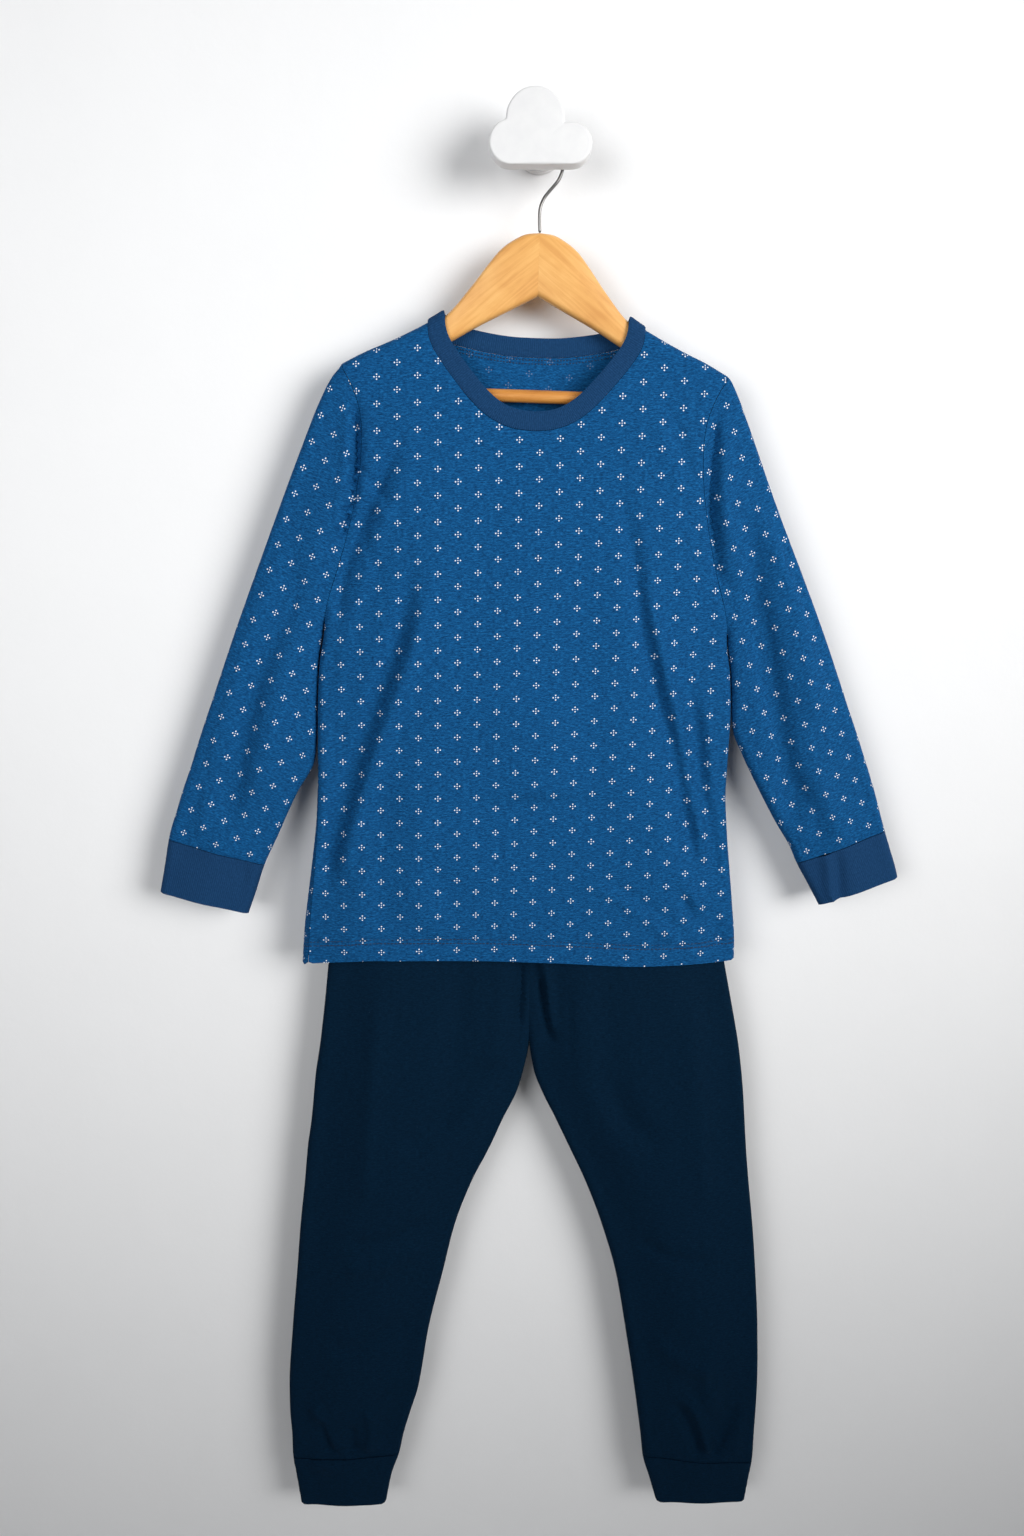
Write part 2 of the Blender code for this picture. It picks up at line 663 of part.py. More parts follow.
def neck_rib(finish):
    """One ring of rib round the neck. It stands on the neckline seam, proudest over the shoulder folds."""
    loops = []
    for side, rows in ((-1, NECK_FRONT), (1, NECK_BACK)):
        half = neckline(rows)
        strip = []
        for i, (x, z) in enumerate(half):
            before, after = half[max(i - 1, 0)], half[min(i + 1, len(half) - 1)]
            run = Vector((after[0] - before[0], after[1] - before[1])).normalized()
            at_shoulder = ease(1 - i / (0.45 * len(half)))
            way = (Vector((run.y, -run.x)) * (1 - at_shoulder) + Vector(RIB_RISE) * at_shoulder).normalized()
            x, z = x + way.x * SEAM_GAP, z + way.y * SEAM_GAP
            strip.append(((x, z), (x + way.x * RIB_WIDTH, z + way.y * RIB_WIDTH)))
        left = [(side, (-a[0], a[1]), (-b[0], b[1])) for a, b in strip]
        right = [(side, a, b) for a, b in reversed(strip[:-1])]
        loops.append(left + right)
    around = loops[0][:-1] + list(reversed(loops[1]))[:-1]
    outer, inner = [], []
    for share in RIB_SHARES:
        for side, seam, edge in around:
            a = seam[0] + (edge[0] - seam[0]) * share
            b = min(seam[1] + (edge[1] - seam[1]) * share, ridge_top(a))
            out = torso_out(side, a, b)
            proud = RIB_PROUD + RIB_STAND * ease((b - ridge(a) + 6) / 8)
            outer.append(torso(side, a, b) + out * proud)
            inner.append(outer[-1] - out * RIB_CLOTH)
    ring, rows = len(around), len(RIB_SHARES)
    shift = len(outer)
    faces = []
    for k in range(ring):
        after = (k + 1) % ring
        for i in range(rows - 1):
            quad = (i * ring + k, i * ring + after, (i + 1) * ring + after, (i + 1) * ring + k)
            faces += [quad, tuple(j + shift for j in reversed(quad))]
        top = (rows - 1) * ring
        faces += [(after, k, k + shift, after + shift)]
        faces += [(top + k, top + after, top + after + shift, top + k + shift)]
    return solid("neck_rib", outer + inner, faces, finish)


# Sleeves, legs and cuffs

def limb_folds(rows, b):
    """The two folds of a limb at a height, the smaller x first."""
    pair = (read(rows, "z", "outer", b), read(rows, "z", "inner", b))
    return min(pair), max(pair)


def body_side(sign, height):
    """Where the body's side fold is, at a height of the wall."""
    column = "left" if sign < 0 else "right"
    z = height - APEX_Z
    for _ in range(3):
        x = sign * read(TORSO, "z", column, z)
        z = (height - APEX_Z + x * math.sin(LEAN)) / math.cos(LEAN)
    return x * math.cos(LEAN) + z * math.sin(LEAN)


def limb_surface(rows, middle_y, folds=(), reach=40.0, hole=None):
    """point(side, a, b) of a sleeve or leg. hole holds the armhole's rows, which a sleeve starts from."""
    sign = -1 if rows[-1].outer < rows[-1].inner else 1

    def edges(b):
        low, high = limb_folds(rows, b)
        if hole and b > hole[-1].z:
            seam = read(hole, "z", "x", b) - sign * read(hole, "z", "past", b)
            low, high = (low, seam) if sign < 0 else (seam, high)
        elif hole:
            clear = body_side(sign, b) + sign * SIDE_CLEARANCE * ease((hole[-1].z - b) / 12)
            low, high = (low, min(high, clear)) if sign < 0 else (max(low, clear), high)
        return low, high

    def height(side, x, b, low, high):
        depth = read(rows, "z", "front" if side < 0 else "back", b)
        grown = ease((x - low - EDGE_RADIUS) / reach) * ease((high - EDGE_RADIUS - x) / reach)
        lift = fold_height(folds, x, b) if side < 0 else 0.0
        inner = min(x - low, high - x) - EDGE_RADIUS
        return EDGE_RADIUS + (depth - EDGE_RADIUS) * grown + lift * ease(inner / 8)

    def point(side, a, b):
        low, high = edges(b)
        x, turn = fold_turn(a, low, high)
        facing = side if turn >= 0 else -side
        out = turn * height(facing, x, b, low, high)
        if hole and b > hole[-1].z:
            seam = read(hole, "z", "x", b)
            span = max(4.0, min(SLEEVE_EASE, 0.5 * (b - hole[-1].z)))
            own_x, own_turn = fold_turn(unrolled(seam, low, high), low, high)
            own = own_turn * height(facing, own_x, b, low, high)
            wanted = read(hole, "z", "front" if facing < 0 else "back", b)
            near = ease(1 - abs(x - seam) / span)
            out += (1 if turn >= 0 else -1) * (wanted - own) * near * min(1.0, abs(turn) * 3)
        return Vector((x, middle_y(b) + side * out, b))

    return point, edges


def limb_outline(edges, top, end, steps):
    """Places down the outer fold, across the end, and up the inner fold, and which of them lie on a fold."""
    sign = -1 if end[0].x < end[1].x else 1

    def fold(b, outer):
        low, high = edges(b)
        is_low = (sign < 0) == outer
        return (low - QUARTER_LESS_RADIUS * EDGE_RADIUS) if is_low else (high + QUARTER_LESS_RADIUS * EDGE_RADIUS)

    downs = [(fold(b, True), b) for b in
             (top[0].z + (end[0].z - top[0].z) * i / steps for i in range(steps + 1))]
    ups = [(fold(b, False), b) for b in
           (end[1].z + (top[1].z - end[1].z) * i / steps for i in range(steps + 1))]
    return downs, ups


def across_line(start, stop, edges, spacing):
    """Places between two ends, on a straight line of the wall, as unrolled places."""
    low, high = edges((start[1] + stop[1]) / 2)
    arc = math.pi / 2 * EDGE_RADIUS
    length = abs(stop[0] - start[0])
    count = max(2, round((length - 2 * arc) / spacing))
    spots = [arc * k / FOLD_ARCS for k in range(1, FOLD_ARCS + 1)]
    spots += [arc + (length - 2 * arc) * i / count for i in range(1, count + 1)]
    spots += [length - arc * k / FOLD_ARCS for k in range(FOLD_ARCS - 1, 0, -1)]
    return [(start[0] + (stop[0] - start[0]) * s / length, start[1] + (stop[1] - start[1]) * s / length)
            for s in spots]


def near_folds(outline, shared, edges):
    """Places a little inside each place on a fold, so that the fold is round."""
    near = []
    arc = math.pi / 2 * EDGE_RADIUS
    for k in shared:
        a, b = outline[k]
        low, high = edges(b)
        way = 1 if abs(a - low) < abs(a - high) else -1
        near += [(a + way * arc * i / FOLD_ARCS, b) for i in range(1, FOLD_ARCS + 1)]
    return near


def tube(name, surface, top, end, steps, thickness, finish, lift=0.0, spacing=SPACING):
    """A tube between two slanting lines, such as a cuff."""
    point, edges = surface
    downs, ups = limb_outline(edges, top, end, steps)
    bottom = across_line(downs[-1], ups[0], edges, spacing)
    upper = across_line(ups[-1], downs[0], edges, spacing)
    outline = downs + bottom + ups + upper
    shared = set(range(len(downs))) | {len(downs) + len(bottom) + k for k in range(len(ups))}
    return shell(name, outline, shared, near_folds(outline, shared, edges), spacing,
                 (-1, 1), point, thickness, finish, lift=lift)


def moved_down(line, distance):
    return tuple(Line(end.x, end.z - distance) for end in line)


def level_middle_y(b):
    return MIDDLE_Y


def sleeve_middle_y(b):
    return MIDDLE_Y + (CUFF_MIDDLE_Y - MIDDLE_Y) * ease((-200 - b) / 300)


def sleeve_surface(rows, sign):
    """The sleeve's surface, and its armhole ring as places, points and ways out."""
    seam = armhole(sign)
    ring = []
    for i, (a, b) in enumerate(seam):
        before, after = seam[max(i - 1, 0)], seam[min(i + 1, len(seam) - 1)]
        run = Vector((after[0] - before[0], after[1] - before[1])).normalized()
        way = Vector((run.y, -run.x)) * -sign
        a, b = a + way.x * PANEL_INSET, b + way.y * PANEL_INSET
        if i == 0:
            b = ridge_top(a)
        ring.append({side: (torso(side, a, b), torso_out(side, a, b)) for side in (-1, 1)})
    hole = []
    for (a, b), spots in zip(seam, ring):
        low, high = torso_folds(b)
        x = fold_turn(a, low, high)[0]
        past = (x - low) if sign < 0 else (high - x)
        front, back = spots[-1][0], spots[1][0]
        hole.append(Hole(front.z, front.x, max(0.0, past), MIDDLE_Y - front.y, back.y - MIDDLE_Y))
    return limb_surface(rows, sleeve_middle_y, hole=tuple(hole)), ring


def sleeve(name, rows, sign, end, finish):
    (point, edges), ring = sleeve_surface(rows, sign)
    shoulder, armpit = ring[0][-1][0], ring[-1][-1][0]
    downs, ups = limb_outline(edges, (Line(0, shoulder.z), Line(0, armpit.z)), end, SLEEVE_STEPS)
    bottom = across_line(downs[-1], ups[0], edges, SPACING)
    seam = []
    for spots in reversed(ring[1:-1]):
        spot = spots[-1][0]
        low, high = edges(spot.z)
        seam.append((unrolled(spot.x, low, high), spot.z))
    outline = downs + bottom + ups + seam
    shared = set(range(len(downs))) | {len(downs) + len(bottom) + k for k in range(len(ups))}
    first = len(downs) + len(bottom) + len(ups)
    beside = ring[-1][-1][0] + Vector((sign * SEAM_GAP, 0, 0))
    fixed = {(-1, 0): ring[0][-1], (-1, first - 1): (beside, Vector((-sign, 0, 0)))}
    for k, spots in enumerate(reversed(ring[1:-1])):
        fixed[-1, first + k] = spots[-1]
        fixed[1, first + k] = spots[1]
    shell(name, outline, shared, near_folds(outline, shared, edges), SPACING, (-1, 1), point, CLOTH, finish,
          fixed=fixed)


def leg(name, rows, sign, end, finish):
    """One leg cut in one piece: open along the centre seam, and a closed tube below the crotch."""
    point, edges = limb_surface(rows, level_middle_y, LEG_FOLDS, LEG_CROWN_REACH)
    top_z = WAIST_SEAM_Z - SEAM_GAP
    downs, ups = limb_outline(edges, (Line(0, top_z), Line(0, CROTCH_Z)), end, LEG_STEPS)
    bottom = across_line(downs[-1], ups[0], edges, SPACING)
    centre = []
    for share in CENTRE_SHARES:
        b = CROTCH_Z + (top_z - CROTCH_Z) * share
        low, high = edges(b)
        centre.append((unrolled(CENTRE_X + sign * SEAM_GAP / 2, low, high), b))
    waist = [(centre[-1][0] + (downs[0][0] - centre[-1][0]) * i / WAIST_STEPS, top_z)
             for i in range(1, WAIST_STEPS)]
    outline = downs + bottom + ups + centre + waist
    shared = set(range(len(downs))) | {len(downs) + len(bottom) + k for k in range(len(ups))}
    shell(name, outline, shared, near_folds(outline, shared, edges), SPACING, (-1, 1), point, CLOTH, finish)


# Hanger

def hanger_arm(name, sign, finish):
    """One flat arm with rounded edges, from the mitre at the middle to the shoulder end."""
    stations = [0.15, 6, 13, 20, 28, 36, 44, 52, 60, 70, 82, 95, 108, 118, 128, 136, 141, ARM_REACH]
    corner = ARM_EDGE_RADIUS
    points, ring = [], 12
    for x in stations:
        top, low = read(ARM_TOP, "x", "z", x), read(ARM_LOW, "x", "z", x)
        shrink = 1.0 - 0.35 * ease((x - 136) / (ARM_REACH - 136))
        middle, half = (top + low) / 2, (top - low) / 2 * shrink
        flat_y, flat_z = ARM_THICKNESS / 2 - corner, half - corner
        for k in range(ring):
            angle = 2 * math.pi * (k + 0.5) / ring
            y = math.copysign(flat_y, math.cos(angle)) + corner * math.cos(angle)
            z = math.copysign(flat_z, math.sin(angle)) + corner * math.sin(angle)
            points.append(leaned(sign * x, MIDDLE_Y + y, middle + z))
    faces = [tuple(reversed(range(ring)))]
    for i in range(len(stations) - 1):
        for k in range(ring):
            a, b = i * ring + k, i * ring + (k + 1) % ring
            faces.append((a, b, b + ring, a + ring))
    faces.append(tuple((len(stations) - 1) * ring + k for k in range(ring)))
    return solid(name, points, faces, finish)


def rod(name, start, end, diameter, sides, finish):
    """A straight round rod between two points in millimetres."""
    axis = (end - start).normalized()
    side = axis.cross(Vector((0, 1, 0))).normalized()
    up = axis.cross(side)
    points = []
    for centre in (start, end):
        for k in range(sides):
            angle = 2 * math.pi * k / sides
            points.append(centre + (side * math.cos(angle) + up * math.sin(angle)) * diameter / 2)
    faces = [tuple(range(sides))[::-1], tuple(range(sides, 2 * sides))]
    faces += [(k, (k + 1) % sides, sides + (k + 1) % sides, sides + k) for k in range(sides)]
    return solid(name, points, faces, finish)


def cut(target, cutter):
    cutter.hide_render = True
    cutter.display_type = "WIRE"
    hole = target.modifiers.new("socket", "BOOLEAN")
    hole.operation = "DIFFERENCE"
    hole.solver = "EXACT"
    hole.object = cutter


def hanger(wood, bar_wood, steel):
    for name, sign in (("hanger_arm_left", -1), ("hanger_arm_right", 1)):
        arm = hanger_arm(name, sign, wood)
        socket = rod(name + "_socket", leaned(sign * 90, MIDDLE_Y, BAR_Z),
                     leaned(sign * SOCKET_DEPTH_END, MIDDLE_Y, BAR_Z), BAR_DIAMETER + 2 * SEAM_GAP, 20, wood)
        cut(arm, socket)
    rod("hanger_bar", leaned(-BAR_HALF_LENGTH, MIDDLE_Y, BAR_Z),
        leaned(BAR_HALF_LENGTH, MIDDLE_Y, BAR_Z), BAR_DIAMETER, 20, bar_wood)
    hanger_hook(steel)


def hanger_hook(finish):
    """The wire: up from the wood, out to the right, and round over the peg."""
    centre_z = PEG_DIAMETER / 2 + SEAM_GAP + WIRE_DIAMETER / 2 - HOOK_RADIUS
    stem = [(0.0, APEX_Z + SEAM_GAP + 0.1), (-0.3, -56.0), (0.2, -47.5), (3.2, -40.4), (8.8, -33.8),
            (13.6, -28.2), (16.6, -20.5), (HOOK_RADIUS, centre_z)]
    route = smooth_line(stem, evenly(15))
    turns = 15
    for k in range(1, turns + 1):
        angle = math.radians(HOOK_END_ANGLE * k / turns)
        route.append((HOOK_RADIUS * math.cos(angle), centre_z + HOOK_RADIUS * math.sin(angle)))
    curve = bpy.data.curves.new("hanger_hook", "CURVE")
    curve.dimensions = "3D"
    curve.bevel_depth = WIRE_DIAMETER / 2 * MM
    curve.bevel_resolution = 2
    curve.use_fill_caps = True
    spline = curve.splines.new("POLY")
    spline.points.add(len(route) - 1)
    for point, (x, z) in zip(spline.points, route):
        point.co = (x * MM, MIDDLE_Y * MM, z * MM, 1.0)
    curve.materials.append(finish)
    made = bpy.data.objects.new("hanger_hook", curve)
    bpy.context.collection.objects.link(made)


# Wall hook

def turned(name, profile, sides, finish):
    """A round solid about the Y axis through the origin, from rows of (y, radius)."""
    points = [Vector((0.0, profile[0][0], 0.0))]
    for y, radius in profile:
        for k in range(sides):
            angle = 2 * math.pi * k / sides
            points.append(Vector((radius * math.cos(angle), y, radius * math.sin(angle))))
    points.append(Vector((0.0, profile[-1][0], 0.0)))
    faces = []
    for k in range(sides):
        faces.append((0, 1 + k, 1 + (k + 1) % sides))
        for i in range(len(profile) - 1):
            a, b = 1 + i * sides + k, 1 + i * sides + (k + 1) % sides
            faces.append((a, a + sides, b + sides, b))
        last = 1 + (len(profile) - 1) * sides
        faces.append((len(points) - 1, last + (k + 1) % sides, last + k))
    return solid(name, points, faces, finish)


def cloud_radius(angle, centre_z):
    """How far the cloud reaches from its middle in a direction: its bumps and its flat bottom."""
    way_x, way_z = math.cos(angle), math.sin(angle)
    reach = 0.0
    for bump in CLOUD:
        along_way = bump.x * way_x + (bump.z - centre_z) * way_z
        off = bump.x ** 2 + (bump.z - centre_z) ** 2 - along_way ** 2
        if off < bump.radius ** 2:
            reach = max(reach, along_way + math.sqrt(bump.radius ** 2 - off))
    if way_z < 0:
        flat = (PLATE_BOTTOM_Z - centre_z) / way_z
        side = abs(flat * way_x)
        reach = flat if side < abs(CLOUD[1].x) else reach
    return reach


def cloud_plate(finish):
    """The cloud-shaped front of the wall hook, with softly rounded edges."""
    centre_z = -9.0
    outline = []
    for k in range(CLOUD_POINTS):
        angle = 2 * math.pi * k / CLOUD_POINTS
        outline.append((angle, cloud_radius(angle, centre_z)))
    front_y = PLATE_BACK_Y - PLATE_THICKNESS
    layers = (
        (PLATE_BACK_Y, PLATE_BEVEL), (PLATE_BACK_Y - 0.3 * PLATE_BEVEL, 0.3 * PLATE_BEVEL),
        (PLATE_BACK_Y - PLATE_BEVEL, 0.0), (front_y + PLATE_BEVEL, 0.0),
        (front_y + 0.3 * PLATE_BEVEL, 0.3 * PLATE_BEVEL), (front_y, PLATE_BEVEL),
    )
    points = []
    for y, inset in layers:
        for angle, reach in outline:
            r = reach - inset
            points.append(Vector((r * math.cos(angle), y, centre_z + r * math.sin(angle))))
    n = CLOUD_POINTS
    faces = [tuple(range(n))]
    for i in range(len(layers) - 1):
        for k in range(n):
            a, b = i * n + k, i * n + (k + 1) % n
            faces.append((a, a + n, b + n, b))
    faces.append(tuple((len(layers) - 1) * n + k for k in reversed(range(n))))
    return solid("cloud_plate", points, faces, finish)


def wall_hook(finish):
    peg = PEG_DIAMETER / 2
    base = BASE_DIAMETER / 2
    profile = (
        (0.0, base), (-BASE_THICKNESS + 1.2, base), (-BASE_THICKNESS, base - 1.2),
        (-BASE_THICKNESS, peg), (PLATE_BACK_Y + SEAM_GAP, peg),
    )
    turned("wall_hook_base", profile, 32, finish)
    cloud_plate(finish)


def main():
    clear_scene()
    blue = material("blue_jersey", BLUE, 0.85)
    rib_blue = material("blue_rib", RIB_BLUE, 0.88)
    navy = material("navy_jersey", NAVY, 0.88)
    wood = material("hanger_wood", WOOD, 0.45)
    bar_wood = material("bar_wood", BAR_WOOD, 0.45)
    steel = material("hook_wire", STEEL, 0.3, metallic=1.0)
    white = material("white_paint", WHITE, 0.5)

    torso_panel("top_front", -1, NECK_FRONT, SPACING, blue)
    torso_panel("top_back", 1, NECK_BACK, BACK_SPACING, blue)
    neck_rib(rib_blue)
    for side, sign, rows, seam, end in (
        ("left", -1, LEFT_SLEEVE, LEFT_SLEEVE_END, LEFT_CUFF_END),
        ("right", 1, RIGHT_SLEEVE, RIGHT_SLEEVE_END, RIGHT_CUFF_END),
    ):
        sleeve("sleeve_" + side, rows, sign, seam, blue)
        tube("sleeve_cuff_" + side, limb_surface(rows, sleeve_middle_y), moved_down(seam, CUFF_GAP), end,
             CUFF_STEPS, RIB_CLOTH, rib_blue)
    for side, sign, rows, seam, end in (
        ("left", -1, LEFT_LEG, LEFT_ANKLE_SEAM, LEFT_ANKLE_END),
        ("right", 1, RIGHT_LEG, RIGHT_ANKLE_SEAM, RIGHT_ANKLE_END),
    ):
        leg("trouser_leg_" + side, rows, sign, seam, navy)
        tube("ankle_cuff_" + side, limb_surface(rows, level_middle_y, LEG_FOLDS, LEG_CROWN_REACH),
             moved_down(seam, CUFF_GAP), end, CUFF_STEPS, RIB_CLOTH, navy)
    tube("waistband", limb_surface(WAISTBAND, level_middle_y, reach=WAIST_CROWN_REACH), (Line(0, -462), Line(0, -462)),
         (Line(-143, WAIST_SEAM_Z), Line(131, WAIST_SEAM_Z)), 1, RIB_CLOTH, navy)
    hanger(wood, bar_wood, steel)
    wall_hook(white)


main()
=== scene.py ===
"""The looks of the pyjama set: creased cloth with its weave and print, the wooden hanger and the wall hook."""

import math
from collections import namedtuple
from functools import lru_cache

import bpy
import numpy as np
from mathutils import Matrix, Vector
from mathutils.geometry import delaunay_2d_cdt


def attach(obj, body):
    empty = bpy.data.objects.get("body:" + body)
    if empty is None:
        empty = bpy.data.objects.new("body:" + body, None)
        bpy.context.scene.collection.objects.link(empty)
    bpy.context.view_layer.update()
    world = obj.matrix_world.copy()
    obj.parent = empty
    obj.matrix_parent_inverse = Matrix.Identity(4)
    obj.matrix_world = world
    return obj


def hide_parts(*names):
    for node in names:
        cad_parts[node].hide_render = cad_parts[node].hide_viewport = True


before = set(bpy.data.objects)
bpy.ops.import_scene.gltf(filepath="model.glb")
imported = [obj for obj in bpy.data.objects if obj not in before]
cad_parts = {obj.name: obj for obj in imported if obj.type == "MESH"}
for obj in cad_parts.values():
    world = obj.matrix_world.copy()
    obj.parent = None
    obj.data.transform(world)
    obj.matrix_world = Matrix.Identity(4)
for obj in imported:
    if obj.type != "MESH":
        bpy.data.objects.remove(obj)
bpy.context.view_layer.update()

MM = 0.001

# Walls and gaps
CLOTH = 1.3
RIB_CLOTH = 1.9
SEAM_GAP = 0.3
PANEL_INSET = 0.2
CUFF_GAP = 0.45
MIDDLE_Y = -27.0
CUFF_MIDDLE_Y = -25.0

# The lean of the hanger, and the top of its wood
LEAN = math.radians(1.85)
APEX_Z = -64.6

# Hanger
ARM_THICKNESS = 10.6
ARM_EDGE_RADIUS = 5.0
ARM_REACH = 143.5
ARM_TAPER_START = 136
BAR_DIAMETER = 9.6
BAR_Z = -115.5
BAR_HALF_LENGTH = 129.0
BAR_END_ROUNDING = 0.8
WIRE_DIAMETER = 2.4
HOOK_RADIUS = 17.5
HOOK_END_ANGLE = 200.0

# Wall hook
BASE_DIAMETER = 36.0
BASE_THICKNESS = 6.0
BASE_BEVEL = 1.2
PEG_DIAMETER = 11.0
PEG_BEVEL = 1.0
PLATE_BACK_Y = -34.0
PLATE_THICKNESS = 16.0
PLATE_BEVEL = 2.0
PLATE_BOTTOM_Z = -23.6

# How the top's surface turns over at the shoulder and at its side folds
SHOULDER_RADIUS = 7.7
EDGE_RADIUS = 6.0
CLOTH_OVER_WOOD = 2.7
CROWN_REACH = 80.0
SHOULDER_REACH = 60.0

# The turned-up hem, how far its table is shifted to the leaning frame, and the side seams above it
HEM_WIDTH = 16.5
HEM_SHIFT = 18.0
SIDE_SEAM_LENGTH = 266

# How far the cloth rises, sinks and puckers at the hem, at the seams and where the cuffs are sewn on
HEM_RISE, HEM_STEP, HEM_GROOVE, HEM_PUCKER = 0.4, 1.6, 1.5, 0.22
SEAM_RISE, SEAM_GROOVE = 0.25, 0.5
CUFF_GROOVE, CUFF_PUCKER = 0.8, 0.2

# The part of a fold's or crease's length over which it fades at its ends
FOLD_FADE = 0.35
CREASE_FADE_IN, CREASE_FADE_OUT = 0.28, 0.14

# No trough sinks deeper than this share of the cloth's height over its middle
MOST_SUNK = 0.6

# Neck rib
RIB_GAP = 0.05
RIB_WIDTH = 14.0
RIB_PROUD = 0.5
RIB_STAND = 1.8
RIB_RISE = (-0.85, 0.53)

# Sleeves
SLEEVE_EASE = 40.0
SIDE_CLEARANCE = 0.8

# Trousers
CROTCH_Z = -707.0
CENTRE_X = -6.0
CENTRE_HALF_GAP = 0.03
WAIST_SEAM_Z = -492.0
LEG_CROWN_REACH = 48.0
WAIST_CROWN_REACH = 90.0
WAIST_DRAWN_IN = 9

# Hanger grain: its slope, and how far along the chart the second board starts
GRAIN_SLOPE = math.radians(38)
OTHER_BOARD = 400

# Stitches: how high a thread lies, and its thickness from end to end
THREAD_LIFT = 0.05
STITCH_SHAPE = ((-0.5, 0.35), (-0.36, 0.85), (0.0, 1.0), (0.36, 0.85), (0.5, 0.35))

# Wall and floor, in metres
ROOM_SIDE, ROOM_FRONT, ROOM_TOP = 2.5, -3.0, 1.6
WALL_Y, FLOOR_Z = 0.0006, -1.42

Line = namedtuple("Line", "x z")
Torso = namedtuple("Torso", "z left right front back edge seam")
Limb = namedtuple("Limb", "z outer inner front back")
Fold = namedtuple("Fold", "x_top z_top x_low z_low width depth")
Bump = namedtuple("Bump", "x z radius")
Hole = namedtuple("Hole", "z x past front back")
Crease = namedtuple("Crease", "width depth line")
Print = namedtuple("Print", "x z row_x row_z down_x down_z")
Sheet = namedtuple("Sheet", "name width length area on")


def table(kind, *rows):
    return tuple(kind(*row) for row in rows)


def creases(*rows):
    """Soft troughs and ridges along curved lines: the width, the depth, then the line's points."""
    return tuple(Crease(width, depth, line) for width, depth, *line in rows)


# Upper and lower edge of one hanger arm, leaning frame, from the middle outwards
ARM_TOP = table(
    Line,
    (0, 0), (9, -0.9), (20, -6), (28, -11.8), (36, -21), (51, -40.5),
    (68, -59.5), (90, -72.3), (111, -82.6), (128, -90), (144, -98.4), (175, -116),
)
ARM_LOW = table(
    Line,
    (0, -44.2), (16, -52.5), (46, -68), (62, -77.3), (84, -89), (102, -100),
    (116, -117), (126, -125), (138, -124), (150, -112),
)

# Neckline seam, leaning frame, on the unrolled cloth, from the shoulder seam to the middle
NECK_FRONT = table(
    Line,
    (80.5, -60.7), (80.6, -68), (80.2, -74), (77.4, -82), (71, -92.2), (62, -103.8),
    (51.5, -116), (40.3, -127), (28.5, -134.8), (15, -139.7), (0, -141.2),
)
NECK_BACK = table(
    Line,
    (80.5, -60.7), (80.4, -67), (77, -73.4), (66, -78), (52, -81.2),
    (36, -84), (18, -86), (0, -86.4),
)

# Armhole seam, leaning frame, from the shoulder point down to the armpit
ARMHOLE = table(
    Line,
    (145.5, -96.6), (143.6, -101), (139.5, -108), (135, -118), (131.3, -130),
    (129.5, -144), (129.8, -161), (131.8, -180), (137, -208), (143.5, -234),
    (150, -256), (154.3, -270), (157.2, -282), (158.5, -292),
)

# The top, leaning frame: its side folds, its half depths at the middle and at the folds, and how far
# the left seam lies on the front
TORSO = table(
    Torso,
    (-80, 168, 168, 9.0, 8.6, 7.7, 0.0),
    (-130, 166, 166, 11.5, 9.4, 7.7, 0.0),
    (-200, 162, 162, 14.5, 10.2, 7.4, 0.0),
    (-250, 159, 159, 15.2, 10.6, 6.8, 0.0),
    (-292, 158.5, 158.5, 15.6, 11.0, 6.2, 0.0),
    (-325, 162.6, 163.4, 16.0, 11.4, 6.0, 1.0),
    (-365, 164, 166, 16.4, 11.8, 6.4, 2.0),
    (-412, 164, 166, 16.8, 12.6, 7.2, 3.5),
    (-447, 165, 169, 17.4, 13.6, 8.0, 5.0),
    (-480, 168, 173.5, 18.0, 14.6, 9.0, 6.5),
    (-512, 171.7, 178, 18.8, 15.4, 10.0, 8.0),
    (-545, 175.2, 182, 19.6, 16.2, 11.0, 9.0),
    (-580, 177, 183, 20.4, 16.8, 12.0, 10.0),
)

# The hem of the top, in wall millimetres
HEM = table(
    Line,
    (-196, -631), (-165, -628), (-128, -625), (-47, -625), (20, -627),
    (85, -629.5), (140, -629), (166, -627),
)

# Folds of the top, leaning frame; a negative depth is a trough
TOP_FOLDS = table(
    Fold,
    (148, -372, 146, -560, 9, 1.6),
    (131, -330, 136, -500, 11, -1.6),
    (150, -505, 170, -545, 6, -2.6),
    (141, -495, 158, -535, 6, 2.0),
    (163, -440, 169, -490, 5, -1.6),
    (-140, -300, -150, -520, 12, -1.5),
    (-116, -330, -128, -560, 13, 1.3),
    (-40, -300, -62, -520, 26, 1.2),
    (62, -260, 78, -500, 26, 1.2),
)
TOP_BACK_FOLDS = table(
    Fold,
    (-90, -150, -118, -430, 20, 1.4),
    (88, -160, 112, -450, 20, 1.4),
)

